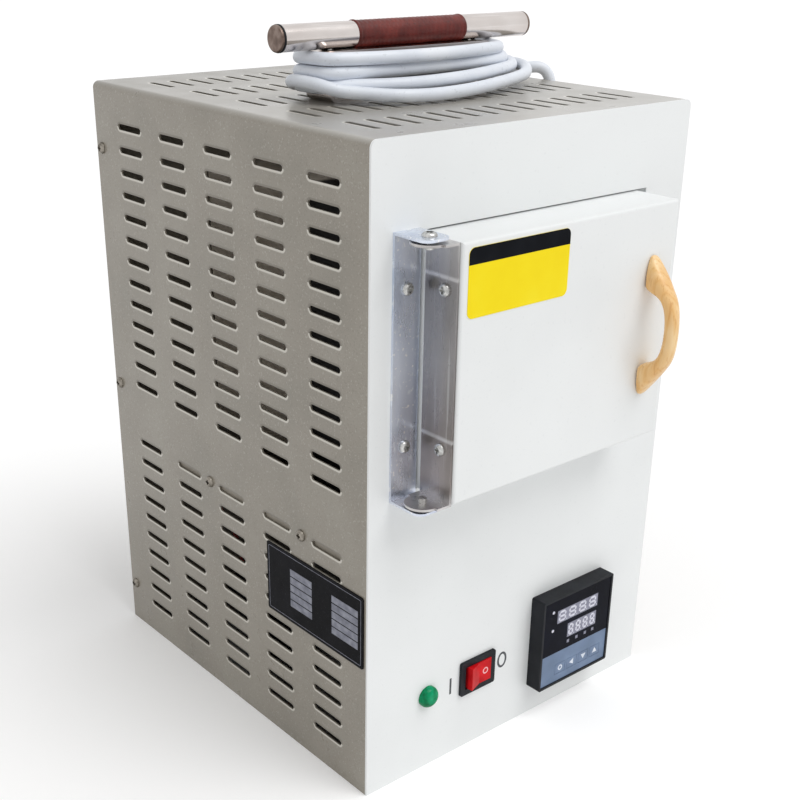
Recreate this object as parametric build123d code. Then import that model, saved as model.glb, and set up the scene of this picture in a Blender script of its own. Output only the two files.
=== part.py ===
from build123d import *
import math
import os

os.makedirs("parts", exist_ok=True)

# Metal clay kiln. +X is right seen from the front, +Y towards the back, +Z up. Millimetres.
# The origin is the centre of the case's footprint, on the surface it stands on.

# Case
case_w = 267.0
case_d = 298.0
case_h = 420.0
sheet = 1.2
front_sheet = 1.5
fold_r = 4.5
fit_gap = 0.3
flange_len = 12.0
cut_over = 1.0

# Ventilation slots, in the same columns on both sides and the top
slot_len = 29.0
slot_wide = 4.1
slot_columns = 5
slot_pitch_y = 52.8
slot_mid_y = -2.5
side_slot_pitch = 15.3
side_slot_margin = 26.4
upper_rows = 13
skipped_rows = 2
lower_rows = 10
top_slot_pitch = 15.2
top_slot_rows = 15

# Sheet screws
shank_d = 4.0
head_d = 8.0
head_h = 2.4
screw_len = 9.0
hole_gap = 0.2
rear_screw_inset = 6.5
rear_screw_heights = (32.5, 203.5, 376.0)
shelf_screw_depths = (67.0, 172.5)

# Shelf between the furnace and the electrical bay, and the base tray
shelf_top = 172.0
tray_flange = 15.0
shelf_depth = 213.0

# Chamber and its insulation
chamber_w = 120.0
chamber_h = 90.0
chamber_d = 150.0
chamber_x = -4.5
side_board = 38.0
top_board = 42.0
bottom_board = 43.5
rear_board = 43.0
casing_sheet = 1.0
hearth_thick = 8.0
hearth_margin = 5.0
hearth_corner = 4.0
frame_thick = 1.5
frame_lap = 3.0
frame_over = 7.0
rail_wide = 24.0
rail_sheet = 1.5
rail_inset = 10.0

# Heating elements, each lying in grooves of a side board
element_d = 3.0
element_rows = 4
element_pitch = 20.0
element_inset = 2.4
element_bend = 9.4
groove_deep = 5.0
groove_wide = 5.0
groove_run = 14.0
element_end_margin = 22.0
bead_d = 9.0
bead_len = 12.0

# Thermocouple
sheath_d = 6.0
sheath_reach = 25.0
sheath_z = 318.0
probe_neck_d = 12.0
probe_neck_len = 4.0
probe_head_d = 16.0
probe_head_len = 22.0

# Door
door_w = 184.0
door_h = 155.0
door_proud = 33.0
door_inset = 9.5
door_left = 37.0
door_bottom = 212.0
door_edge_r = 1.6
door_gap_top = 1.0
door_gap_left = 1.0
door_gap_right = 8.6
opening_lip = 10.0
plug_reach = 22.0
plug_gap = 1.2
plug_taper_right = 6.5
plug_taper = 2.0
inner_frame_thick = 1.0

# Door label
label_w = 80.5
label_h = 40.0
label_thick = 0.3
label_left = 4.5
label_top = 3.4
label_corner = 4.0

# Hinge: one bent leaf on the panel, one on the door's side, two pivot screws
hinge_sheet = 1.5
pivot_from_door = 11.0
pivot_out = 18.0
pivot_d = 5.0
pivot_clearance = 0.05
pivot_head_d = 9.0
pivot_head_h = 2.2
pivot_tail = 3.0
panel_leaf_w = 19.5
panel_leaf_gap = 0.8
panel_tab_reach = 27.0
panel_tab_corner = 6.0
door_leaf_back = 5.0
door_leaf_front = 31.0
door_tab_r = 10.8
tab_space = 1.2
hinge_screw_inset = 30.0
door_screw_out = 21.5
door_screw_lift = 2.0

# Door pull
pull_from_edge = 20.5
pull_len = 92.0
pull_reach = 24.5
pull_thick = 9.0
pull_wide = 13.0
pull_foot = 23.5
pull_round = 4.0
pull_screw_pitch = 64.0
pull_screw_depth = 8.0

# Carrying handle on top
bar_x = 0.0
bar_y = -18.0
bar_wide = 25.0
bar_thick = 2.5
bar_span = 135.0
bar_rise = 30.0
bar_foot = 25.0
bar_bend_r = 4.0
foot_screw_inset = 16.0
tube_x = 5.0
tube_d = 16.0
tube_wall = 1.2
tube_len = 205.0
tube_screw_pitch = 118.0
tube_screw_end = 6.0
grip_x = 4.2
grip_len = 91.0
grip_wall = 0.7
cap_thick = 2.5
cap_edge_r = 1.2
cap_spigot = 6.0
slip_gap = 0.1

# Rating plate on the left side
plate_w = 101.0
plate_h = 51.0
plate_thick = 0.8
plate_corner = 1.5
plate_front = 3.5
plate_z = 95.5

# Temperature controller
ctrl_x = 50.5
ctrl_z = 59.2
ctrl_face = 72.0
ctrl_body = 67.0
ctrl_proud = 12.0
ctrl_depth = 70.0
ctrl_rim = 1.8
ctrl_corner = 1.5
ctrl_sunk = 1.0
ctrl_wall = 2.5
ctrl_vents = 6
ctrl_vent_w = 36.0
ctrl_vent_h = 2.5
ctrl_vent_pitch = 8.0
window_thick = 0.5
overlay_thick = 0.3
keypad_h = 25.0
key_count = 4
key_w = 10.0
key_h = 8.0
key_pitch = 12.3
key_offset_x = 4.3
key_from_bottom = 12.0
key_gap = 0.25
key_proud = 0.35
key_edge_r = 0.25
key_stem = 5.0
key_foot_over = 0.8
key_foot_thick = 1.3
clamp_len = 34.0
clamp_wide = 12.0
clamp_thick = 5.0

# Rocker switch
switch_x = -37.0
switch_z = 56.0
switch_w = 32.0
switch_h = 26.0
switch_flange = 2.0
switch_corner = 1.5
switch_body_w = 28.0
switch_body_h = 22.0
switch_body_d = 24.0
switch_wall = 2.2
switch_floor = 3.0
rocker_side_gap = 1.2
rocker_end_gap = 0.4
rocker_tilt = 10.0
rocker_crown = 5.0
rocker_edge = 3.6
rocker_skirt = 7.0
rocker_pin_d = 2.6
rocker_pin_len = 1.4
rocker_pivot_in = 4.5
tab_w = 6.3
tab_t = 0.8
tab_len = 9.0
tab_pitch = 8.0

# Pilot lamp
lamp_x = -82.0
lamp_z = 56.0
lens_d = 15.0
lens_rim = 1.6
lens_dome = 4.0
lamp_body_d = 11.5
lamp_body_len = 26.0
lamp_nut_d = 17.0
lamp_nut_t = 3.0
lamp_tag_len = 6.0

# Relay on its heat sink, and the terminal block, on the base tray
sink_x = -58.0
sink_y = 62.0
sink_w = 80.0
sink_d = 70.0
sink_base = 5.0
fin_h = 18.0
fin_t = 2.0
fin_count = 9
relay_w = 45.0
relay_d = 58.0
relay_h = 24.0
relay_notch = 6.0
strip_x = 74.0
strip_y = 96.0
strip_w = 62.0
strip_d = 22.0
strip_h = 16.0
strip_step_h = 9.0
strip_ways = 5
strip_slot = 8.0
wire_d = 3.0
wire_gap = 0.3

# Power cord, its gland and its plug
cord_d = 8.0
lie_gap = 0.15
gland_x = 100.0
gland_z = 62.0
gland_hole_d = 16.0
nut_d = 22.0
nut_t = 5.0
lock_nut_t = 5.7
stem_len = 9.0
relief_len = 20.0
relief_base_d = 14.0
relief_tip_d = 10.5
plug_boot_len = 14.0
plug_boot_d = 12.0
plug_boot_w = 16.0
plug_w = 34.0
plug_t = 20.0
plug_len = 46.0
plug_side_r = 6.0
plug_top_r = 3.0
pin_len = 19.0
pin_wide = 6.4
pin_thick = 1.8
pin_spread = 8.0
pin_offset = 3.0
earth_extra = 2.0
pin_turn = 30.0

# Worked out from the values above
case_l = -case_w / 2
case_r = case_w / 2
case_front = -case_d / 2
case_back = case_d / 2
panel_half = case_w / 2 - sheet - fit_gap
panel_top = case_h - sheet - fit_gap
panel_corner = fold_r - sheet - fit_gap
hole_d = shank_d + 2 * hole_gap
door_l = case_l + door_left
door_r = door_l + door_w
door_top = door_bottom + door_h
door_face = case_front - door_proud
door_rear = case_front + door_inset
door_mid_z = (door_bottom + door_top) / 2
pull_x = door_r - pull_from_edge
open_l = door_l - door_gap_left
open_r = door_r + door_gap_right
open_b = door_bottom - door_gap_top
open_t = door_top + door_gap_top
mouth_front = case_front + opening_lip + fit_gap
furnace_front = mouth_front + frame_thick
chamber_l = chamber_x - chamber_w / 2
chamber_r = chamber_x + chamber_w / 2
chamber_b = door_mid_z - chamber_h / 2
chamber_t = door_mid_z + chamber_h / 2
chamber_back = mouth_front + chamber_d
board_l = chamber_l - side_board
board_r = chamber_r + side_board
board_b = chamber_b - bottom_board
board_t = chamber_t + top_board
board_back = chamber_back + rear_board
furnace_back = board_back + casing_sheet
pivot_x = door_l - pivot_from_door
pivot_y = case_front - pivot_out
low_tab_z = door_bottom - 2 * hinge_sheet - tab_space
high_tab_z = door_top + tab_space
bar_top = case_h + bar_rise
tube_z = bar_top + tube_d / 2
ctrl_front = case_front - ctrl_proud
ctrl_face_y = ctrl_front + ctrl_sunk
key_z = ctrl_z - ctrl_face / 2 + key_from_bottom
keypad_top = ctrl_z - ctrl_face / 2 + ctrl_rim + keypad_h
rocker_y = case_front - switch_flange + rocker_pivot_in
tab_end_y = case_front + switch_body_d + tab_len
relay_top = sheet + fin_h + sink_base + relay_h
relay_step_z = relay_top - relay_notch
strip_step_z = sheet + strip_step_h
cord_r = cord_d / 2
cord_on_top = case_h + cord_r + lie_gap


def save(name, shape):
    export_step(shape, f"parts/{name}.step")


def block(x0, x1, y0, y1, z0, z1):
    """Box between two corners."""
    centre = ((x0 + x1) / 2, (y0 + y1) / 2, (z0 + z1) / 2)
    return Pos(*centre) * Box(x1 - x0, y1 - y0, z1 - z0)


def slab(x, z, width, height, y0, y1):
    """Box given by its centre and size in X and Z, and by its two depths."""
    return block(x - width / 2, x + width / 2, y0, y1, z - height / 2, z + height / 2)


def rod(start, end, diameter):
    """Round rod from one point to another."""
    a = Vector(*start)
    b = Vector(*end)
    return extrude(Plane(origin=a, z_dir=b - a) * Circle(diameter / 2), (b - a).length)


def sleeve(start, end, outer_d, inner_d):
    """Round sleeve from one point to another."""
    return rod(start, end, outer_d) - rod(start, end, inner_d)


def facing(x, y, z, direction):
    """Plane at a point with its normal along a direction."""
    return Plane(origin=(x, y, z), z_dir=direction)


def upright(face, y0, y1):
    """Extrude an outline drawn in X and Z from one depth to another."""
    back = Plane(origin=(0, y1, 0), x_dir=(1, 0, 0), z_dir=(0, -1, 0))
    return extrude(back * face, y1 - y0)


def arched_outline(half, z0, z1, corner):
    """Outline in X and Z with square lower and rounded upper corners."""
    top = Pos(0, (z0 + z1) / 2) * RectangleRounded(2 * half, z1 - z0, corner)
    foot_h = 2 * corner
    foot = Pos(0, z0 + foot_h / 2) * Rectangle(2 * half, foot_h)
    return top + foot


def pan_screw(seat, head, rise, shank, length):
    """Screw with a domed, cross-slotted head. The seat plane's normal points out of the head."""
    half = head / 2
    profile = make_face(
        Polyline((0, rise), (half * 0.45, rise))
        + ThreePointArc((half * 0.45, rise), (half * 0.85, rise * 0.72), (half, 0))
        + Polyline((half, 0), (shank / 2, 0), (shank / 2, -length), (0, -length), (0, rise))
    )
    body = revolve(Plane.XZ * profile, Axis.Z)
    slit = head * 0.16
    depth = rise * 1.1
    cross = Box(half, slit, depth) + Box(slit, half, depth)
    return seat.location * (body - Pos(0, 0, rise) * cross)


def sheet_screw(x, y, z, direction, length=screw_len):
    return pan_screw(facing(x, y, z, direction), head_d, head_h, shank_d, length)


def slot_depths():
    first = slot_mid_y - slot_pitch_y * (slot_columns - 1) / 2
    return [first + i * slot_pitch_y for i in range(slot_columns)]


def slot_heights():
    total = upper_rows + skipped_rows + lower_rows
    rows = [case_h - side_slot_margin - i * side_slot_pitch for i in range(total)]
    return rows[:upper_rows] + rows[upper_rows + skipped_rows:]


def side_screws():
    """Depth and height of the screws in each side of the shell: the rear ones, then the shelf's."""
    rear = [(case_back - rear_screw_inset, z) for z in rear_screw_heights]
    shelf_z = shelf_top - tray_flange / 2
    return rear + [(case_front + depth, shelf_z) for depth in shelf_screw_depths]


def foot_screws():
    reach = bar_span / 2 - foot_screw_inset
    return [bar_x - reach, bar_x + reach]


def tube_screws():
    return [bar_x - tube_screw_pitch / 2, bar_x + tube_screw_pitch / 2]


def hinge_screw_heights():
    return [door_bottom + hinge_screw_inset, door_top - hinge_screw_inset]


def panel_leaf_sides():
    right = open_l - panel_leaf_gap
    return right - panel_leaf_w, right


def panel_leaf_screws():
    left, right = panel_leaf_sides()
    return [((left + right) / 2, z) for z in hinge_screw_heights()]


def door_leaf_screws():
    return [(case_front - door_screw_out, z + door_screw_lift) for z in hinge_screw_heights()]


def pull_screws():
    return [door_mid_z - pull_screw_pitch / 2, door_mid_z + pull_screw_pitch / 2]


def build_outer_shell():
    """Sheet folded over the left side, top and right side, with its ventilation slots."""
    outer = arched_outline(case_w / 2, 0, case_h, fold_r)
    inner = arched_outline(case_w / 2 - sheet, -cut_over, case_h - sheet, fold_r - sheet)
    shell = upright(outer - inner, case_front + front_sheet, case_back)
    slot = SlotOverall(slot_len, slot_wide)
    through = extrude(Plane.YZ * slot, case_w, both=True)
    downward = Pos(0, 0, case_h) * extrude(Rot(0, 0, 90) * slot, fold_r / 2, both=True)
    tools = []
    for y in slot_depths():
        for z in slot_heights():
            tools.append(Pos(0, y, z) * through)
        for i in range(top_slot_rows):
            x = (i - (top_slot_rows - 1) / 2) * top_slot_pitch
            tools.append(Pos(x, y, 0) * downward)
    for y, z in side_screws():
        tools.append(rod((-case_w, y, z), (case_w, y, z), hole_d))
    for x in foot_screws():
        tools.append(rod((x, bar_y, case_h - fold_r), (x, bar_y, case_h + fold_r), hole_d))
    return shell - tools


def build_front_panel():
    """Face sheet over the shell's front edge, flanged inside it, with the door opening and control cut-outs."""
    s = front_sheet
    panel = upright(arched_outline(case_w / 2, 0, case_h, fold_r), case_front, case_front + s)
    panel += upright(arched_outline(panel_half, 0, panel_top, panel_corner), case_front, case_front + flange_len)
    inside = arched_outline(panel_half - s, s, panel_top - s, panel_corner - s)
    panel -= upright(inside, case_front + s, case_front + flange_len + cut_over)
    lip_back = case_front + opening_lip
    panel += block(open_l - s, open_r + s, case_front, lip_back, open_b - s, open_t + s)
    front = case_front - cut_over
    back = case_front + s + cut_over
    panel -= block(open_l, open_r, front, lip_back + cut_over, open_b, open_t)
    panel -= slab(ctrl_x, ctrl_z, ctrl_body + 2 * fit_gap, ctrl_body + 2 * fit_gap, front, back)
    panel -= slab(switch_x, switch_z, switch_body_w + 2 * fit_gap, switch_body_h + 2 * fit_gap, front, back)
    panel -= rod((lamp_x, front, lamp_z), (lamp_x, back, lamp_z), lamp_body_d + 2 * fit_gap)
    for x, z in panel_leaf_screws():
        panel -= rod((x, front, z), (x, back, z), hole_d)
    return panel


def build_back_panel():
    outline = arched_outline(panel_half, 0, panel_top, panel_corner)
    panel = upright(outline, case_back - flange_len, case_back)
    inside = arched_outline(panel_half - sheet, sheet, panel_top - sheet, panel_corner - sheet)
    panel -= upright(inside, case_back - flange_len - cut_over, case_back - sheet)
    gland_from = (gland_x, case_back - sheet - cut_over, gland_z)
    panel -= rod(gland_from, (gland_x, case_back + cut_over, gland_z), gland_hole_d)
    for y, z in side_screws():
        if y > case_back - flange_len:
            panel -= rod((-case_w, y, z), (case_w, y, z), hole_d)
    return panel


def build_base_plate():
    front = case_front + flange_len + fit_gap
    back = case_back - flange_len - fit_gap
    inner = panel_half - sheet
    tray = block(-panel_half, panel_half, front, back, 0, tray_flange)
    return tray - block(-inner, inner, front - cut_over, back + cut_over, sheet, tray_flange + cut_over)


def build_partition_shelf():
    front = case_front + flange_len + fit_gap
    back = front + shelf_depth
    inner = panel_half - sheet
    low = shelf_top - tray_flange
    shelf = block(-panel_half, panel_half, front, back, low, shelf_top)
    shelf -= block(-inner, inner, front - cut_over, back + cut_over, low - cut_over, shelf_top - sheet)
    for y, z in side_screws():
        if y < back:
            shelf -= rod((-case_w, y, z), (case_w, y, z), hole_d)
    return shelf


def build_case_screws():
    screws = []
    for y, z in side_screws():
        screws.append(sheet_screw(case_l, y, z, (-1, 0, 0)))
        screws.append(sheet_screw(case_r, y, z, (1, 0, 0)))
    return Compound(children=screws)


def build_furnace_rails():
    """Two channels on the shelf that carry the furnace."""
    rails = []
    top = board_b - casing_sheet
    front = furnace_front + rail_inset
    back = furnace_back - rail_inset
    for side in (-1, 1):
        mid = (board_l + board_r) / 2 + side * (board_r - board_l) / 4
        left = mid - rail_wide / 2
        right = mid + rail_wide / 2
        inner = right - rail_sheet
        rail = block(left, right, front, back, shelf_top, top)
        rail -= block(left - cut_over, inner, front, back, shelf_top + rail_sheet, top - rail_sheet)
        rails.append(rail)
    return Compound(children=rails)


def build_furnace_casing():
    s = casing_sheet
    casing = block(board_l - s, board_r + s, furnace_front, furnace_back, board_b - s, board_t + s)
    casing -= block(board_l, board_r, furnace_front - cut_over, board_back, board_b, board_t)
    return casing - rear_pass_holes(board_back - cut_over, furnace_back + cut_over)


def element_x(side):
    """Centre of a heating element, side -1 on the left and 1 on the right."""
    wall = chamber_l if side < 0 else chamber_r
    return wall + side * element_inset


def element_heights():
    first = (chamber_b + chamber_t) / 2 - element_pitch * (element_rows - 1) / 2
    return [first + i * element_pitch for i in range(element_rows)]


def element_depths():
    """Front and rear ends of an element's runs."""
    return mouth_front + element_end_margin, chamber_back - element_end_margin


def element_path(side):
    """Route to and fro along the side board, leaving through the rear board at both ends."""
    x = element_x(side)
    rows = element_heights()
    ends = element_depths()
    outside = furnace_back + bead_len
    points = [(x, outside, rows[0])]
    for i in range(len(rows) - 1):
        turn = ends[i % 2]
        points.append((x, turn, rows[i]))
        points.append((x, turn, rows[i + 1]))
    points.append((x, outside, rows[-1]))
    return FilletPolyline(*points, radius=element_bend)


def element_ends():
    """Sides and heights at which the elements pass through the rear board."""
    rows = element_heights()
    return [(element_x(side), z) for side in (-1, 1) for z in (rows[0], rows[-1])]


def rear_pass_holes(y0, y1):
    """Holes through the rear board and the casing for the element ends and the thermocouple."""
    holes = [rod((x, y0, z), (x, y1, z), element_d + 2 * fit_gap) for x, z in element_ends()]
    holes.append(rod((chamber_x, y0, sheath_z), (chamber_x, y1, sheath_z), sheath_d + 2 * fit_gap))
    return holes


def build_heating_elements():
    return Compound(children=[tube_along(element_path(side), element_d) for side in (-1, 1)])


def build_element_beads():
    """Ceramic sleeves over the element ends behind the casing."""
    beads = []
    for x, z in element_ends():
        end = (x, furnace_back + bead_len, z)
        beads.append(sleeve((x, furnace_back, z), end, bead_d, element_d + 2 * fit_gap))
    return Compound(children=beads)


def build_side_board(side):
    """Side board with the grooves that hold an element."""
    wall = chamber_l if side < 0 else chamber_r
    outer = board_l if side < 0 else board_r
    deep = wall + side * groove_deep
    x0, x1 = sorted((wall, deep))
    board = block(min(wall, outer), max(wall, outer), furnace_front, board_back, chamber_b, chamber_t)
    half = groove_wide / 2
    front, back = element_depths()
    low = front - half
    high = back + half
    rows = element_heights()
    for i, z in enumerate(rows):
        reach = board_back + cut_over if i in (0, len(rows) - 1) else high
        board -= block(x0, x1, low, reach, z - half, z + half)
    for i in range(len(rows) - 1):
        near = low if i % 2 == 0 else high - groove_run
        board -= block(x0, x1, near, near + groove_run, rows[i], rows[i + 1])
    return board


def build_top_board():
    return block(board_l, board_r, furnace_front, board_back, chamber_t, board_t)


def build_bottom_board():
    return block(board_l, board_r, furnace_front, board_back, board_b, chamber_b)


def build_rear_board():
    board = block(chamber_l, chamber_r, chamber_back, board_back, chamber_b, chamber_t)
    return board - rear_pass_holes(chamber_back - cut_over, board_back + cut_over)


def build_hearth_plate():
    left = chamber_l + hearth_margin
    right = chamber_r - hearth_margin
    front = mouth_front + plug_reach + plug_gap
    back = chamber_back - hearth_margin
    plate = block(left, right, front, back, chamber_b, chamber_b + hearth_thick)
    return fillet(plate.edges().filter_by(Axis.Z), hearth_corner)


def build_mouth_frame():
    """Metal frame that covers the boards' front edges behind the door opening."""
    over = frame_over
    lap = frame_lap
    frame = block(open_l - over, open_r + over, mouth_front, furnace_front, open_b - over, open_t + over)
    front = mouth_front - cut_over
    back = furnace_front + cut_over
    return frame - block(chamber_l - lap, chamber_r + lap, front, back, chamber_b - lap, chamber_t + lap)


def build_thermocouple():
    tip = (chamber_x, chamber_back - sheath_reach, sheath_z)
    wall = (chamber_x, furnace_back, sheath_z)
    neck = (chamber_x, furnace_back + probe_neck_len, sheath_z)
    end = (chamber_x, furnace_back + probe_head_len, sheath_z)
    return rod(tip, wall, sheath_d) + rod(wall, neck, probe_neck_d) + rod(neck, end, probe_head_d)


def build_door_skin():
    """Folded box, open towards the chamber."""
    skin = block(door_l, door_r, door_face, door_rear, door_bottom, door_top)
    skin = fillet(skin.faces().sort_by(Axis.Y)[0].edges(), door_edge_r)
    left = door_l + sheet
    right = door_r - sheet
    inside_front = door_face + sheet
    skin -= block(left, right, inside_front, door_rear + cut_over, door_bottom + sheet, door_top - sheet)
    for z in pull_screws():
        skin -= rod((pull_x, door_face - cut_over, z), (pull_x, inside_front + cut_over, z), hole_d)
    for y, z in door_leaf_screws():
        skin -= rod((door_l - cut_over, y, z), (left + cut_over, y, z), hole_d)
    return skin


def build_door_insulation():
    """Board that fills the door, with a tapered plug that enters the chamber's mouth."""
    margin = sheet + fit_gap
    core_back = door_rear - inner_frame_thick
    left = door_l + margin
    right = door_r - margin
    board = block(left, right, door_face + margin, core_back, door_bottom + margin, door_top - margin)
    l0 = chamber_l + plug_gap
    r0 = chamber_r - plug_gap
    b0 = chamber_b + plug_gap
    t0 = chamber_t - plug_gap
    t = plug_taper
    near = Polyline((l0, b0), (r0, b0), (r0, t0), (l0, t0), (l0, b0))
    l1 = l0 + t
    r1 = r0 - plug_taper_right
    far = Polyline((l1, b0 + t), (r1, b0 + t), (r1, t0 - t), (l1, t0 - t), (l1, b0 + t))
    near_plane = Plane(origin=(0, core_back, 0), x_dir=(1, 0, 0), z_dir=(0, -1, 0))
    far_plane = Plane(origin=(0, mouth_front + plug_reach, 0), x_dir=(1, 0, 0), z_dir=(0, -1, 0))
    board += loft([near_plane * make_face(near), far_plane * make_face(far)])
    pocket_d = head_d + 2 * cut_over
    for z in pull_screws():
        pocket_end = (pull_x, door_face + sheet + head_h + cut_over, z)
        board -= rod((pull_x, door_face, z), pocket_end, pocket_d)
    for y, z in door_leaf_screws():
        board -= rod((door_l, y, z), (door_l + screw_len + cut_over, y, z), hole_d)
    return board


def build_door_inner_frame():
    margin = sheet + fit_gap
    front = door_rear - inner_frame_thick
    left = door_l + margin
    right = door_r - margin
    frame = block(left, right, front, door_rear, door_bottom + margin, door_top - margin)
    hole = (chamber_l, chamber_r, front - cut_over, door_rear + cut_over, chamber_b, chamber_t)
    return frame - block(*hole)


def build_door_label():
    x = door_l + label_left + label_w / 2
    z = door_top - label_top - label_h / 2
    outline = Pos(x, z) * RectangleRounded(label_w, label_h, label_corner)
    return upright(outline, door_face - label_thick, door_face)


def build_hinge_door_leaf():
    """Leaf screwed to the door's side, with a tab round the pivot at each end."""
    front = case_front - door_leaf_front
    back = case_front - door_leaf_back
    low = door_bottom - hinge_sheet
    leaf = block(door_l - hinge_sheet, door_l, front, back, low, door_top)
    for z in (low, door_top - hinge_sheet):
        leaf += block(pivot_x, door_l, front, back, z, z + hinge_sheet)
        leaf += rod((pivot_x, pivot_y, z), (pivot_x, pivot_y, z + hinge_sheet), 2 * door_tab_r)
    bore = pivot_d + 2 * pivot_clearance
    leaf -= rod((pivot_x, pivot_y, low - cut_over), (pivot_x, pivot_y, door_top + cut_over), bore)
    for y, z in door_leaf_screws():
        leaf -= rod((door_l - hinge_sheet - cut_over, y, z), (door_l + cut_over, y, z), hole_d)
    return leaf


def build_hinge_panel_leaf():
    """Leaf screwed to the panel, its tabs outside the door leaf's tabs."""
    left, right = panel_leaf_sides()
    plate_front = case_front - hinge_sheet
    leaf = block(left, right, plate_front, case_front, low_tab_z, high_tab_z + hinge_sheet)
    for z in (low_tab_z, high_tab_z):
        tab = block(left, right, case_front - panel_tab_reach, case_front, z, z + hinge_sheet)
        leaf += fillet(tab.edges().filter_by(Axis.Z).sort_by(Axis.Y)[:2], panel_tab_corner)
        top = (pivot_x, pivot_y, z + hinge_sheet + cut_over)
        leaf -= rod((pivot_x, pivot_y, z - cut_over), top, pivot_d + 2 * pivot_clearance)
    for x, z in panel_leaf_screws():
        leaf -= rod((x, plate_front - cut_over, z), (x, case_front + cut_over, z), hole_d)
    return leaf


def build_hinge_pivots():
    """Pivot screws headed outside the panel leaf and reaching through the door leaf."""
    reach = 2 * hinge_sheet + tab_space + pivot_tail
    up = facing(pivot_x, pivot_y, high_tab_z + hinge_sheet, (0, 0, 1))
    down = facing(pivot_x, pivot_y, low_tab_z, (0, 0, -1))
    pivots = [pan_screw(seat, pivot_head_d, pivot_head_h, pivot_d, reach) for seat in (up, down)]
    return Compound(children=pivots)


def build_hinge_panel_screws():
    seat_y = case_front - hinge_sheet
    return Compound(children=[sheet_screw(x, seat_y, z, (0, -1, 0)) for x, z in panel_leaf_screws()])


def build_hinge_door_screws():
    seat_x = door_l - hinge_sheet
    return Compound(children=[sheet_screw(seat_x, y, z, (-1, 0, 0)) for y, z in door_leaf_screws()])


def build_door_pull():
    """Bowed wooden pull: an arched side view, tapered to round tips, with rounded edges."""
    half = pull_len / 2
    foot = half - pull_foot
    inner = pull_reach - pull_thick
    side_view = make_face(
        ThreePointArc((0, -half), (-pull_reach, 0), (0, half))
        + Line((0, half), (0, foot))
        + ThreePointArc((0, foot), (-inner, 0), (0, -foot))
        + Line((0, -foot), (0, -half))
    )
    side_plane = Plane(origin=(pull_x - pull_wide / 2, door_face, door_mid_z), x_dir=(0, 1, 0), z_dir=(1, 0, 0))
    bow = extrude(side_plane * side_view, pull_wide)
    arcs = [edge for edge in bow.edges() if edge.geom_type == GeomType.CIRCLE]
    bow = fillet(arcs, pull_round)
    for z in pull_screws():
        bow -= rod((pull_x, door_face + cut_over, z), (pull_x, door_face - pull_screw_depth, z), shank_d)
    return bow


def build_door_pull_screws():
    seat_y = door_face + sheet
    length = sheet + pull_screw_depth - cut_over
    return Compound(children=[sheet_screw(pull_x, seat_y, z, (0, 1, 0), length) for z in pull_screws()])


def build_handle_bar():
    """Flat bar bent into a bridge with its feet turned inwards."""
    half = bar_span / 2
    foot_end = half - bar_foot
    t = bar_thick
    z0 = case_h
    z1 = bar_top
    left = [(-foot_end, z0), (-half, z0), (-half, z1)]
    right = [(half, z1), (half, z0), (foot_end, z0), (foot_end, z0 + t), (half - t, z0 + t)]
    under = [(half - t, z1 - t), (-half + t, z1 - t), (-half + t, z0 + t), (-foot_end, z0 + t)]
    outline = make_face(Polyline(*left, *right, *under, left[0]))
    bar = Pos(bar_x, 0, 0) * upright(outline, bar_y - bar_wide / 2, bar_y + bar_wide / 2)
    for reach, radius in ((half, bar_bend_r), (half - t, bar_bend_r - t)):
        bends = [e for e in bar.edges().filter_by(Axis.Y) if abs(abs(e.center().X - bar_x) - reach) < t / 4]
        bar = fillet(bends, radius)
    for x in foot_screws():
        bar -= rod((x, bar_y, z0 - cut_over), (x, bar_y, z0 + t + cut_over), hole_d)
    for x in tube_screws():
        bar -= rod((x, bar_y, z1 - t - cut_over), (x, bar_y, z1 + cut_over), hole_d)
    return bar


def handle_axis(x):
    return (x, bar_y, tube_z)


def build_handle_tube():
    """Round tube along the bar, turned down where the grip sits."""
    half = tube_len / 2
    start = handle_axis(tube_x - half)
    tube = sleeve(start, handle_axis(tube_x + half), tube_d, tube_d - 2 * tube_wall)
    waist = grip_len / 2 + slip_gap
    waist_d = tube_d - 2 * grip_wall
    tube -= sleeve(handle_axis(grip_x - waist), handle_axis(grip_x + waist), tube_d + cut_over, waist_d)
    for x in tube_screws():
        tube -= rod((x, bar_y, bar_top - cut_over), (x, bar_y, tube_z), shank_d)
    return tube


def build_handle_grip():
    inner_d = tube_d - 2 * grip_wall + 2 * slip_gap
    start = handle_axis(grip_x - grip_len / 2)
    return sleeve(start, handle_axis(grip_x + grip_len / 2), tube_d, inner_d)


def build_handle_caps():
    caps = []
    for side in (-1, 1):
        end = tube_x + side * tube_len / 2
        disc = rod(handle_axis(end), handle_axis(end + side * cap_thick), tube_d)
        outer_face = disc.faces().sort_by(Axis.X)[-1 if side > 0 else 0]
        disc = fillet(outer_face.edges(), cap_edge_r)
        spigot_d = tube_d - 2 * tube_wall - 2 * slip_gap
        caps.append(disc + rod(handle_axis(end), handle_axis(end - side * cap_spigot), spigot_d))
    return Compound(children=caps)


def build_handle_screws():
    """Screws up through the bar into the tube, and down through its feet into the case."""
    screws = []
    for x in tube_screws():
        screws.append(sheet_screw(x, bar_y, bar_top - bar_thick, (0, 0, -1), bar_thick + tube_screw_end))
    for x in foot_screws():
        screws.append(sheet_screw(x, bar_y, case_h + bar_thick, (0, 0, 1)))
    return Compound(children=screws)


def build_rating_plate():
    y = case_front + plate_front + plate_w / 2
    outline = Pos(y, plate_z + plate_h / 2) * RectangleRounded(plate_w, plate_h, plate_corner)
    plane = Plane(origin=(case_l - plate_thick, 0, 0), x_dir=(0, 1, 0), z_dir=(1, 0, 0))
    return extrude(plane * outline, plate_thick)


def key_centres():
    first = ctrl_x + key_offset_x - key_pitch * (key_count - 1) / 2
    return [first + i * key_pitch for i in range(key_count)]


def key_windows(y0, y1):
    width = key_w + 2 * key_gap
    height = key_h + 2 * key_gap
    return [slab(x, key_z, width, height, y0, y1) for x in key_centres()]


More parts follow.
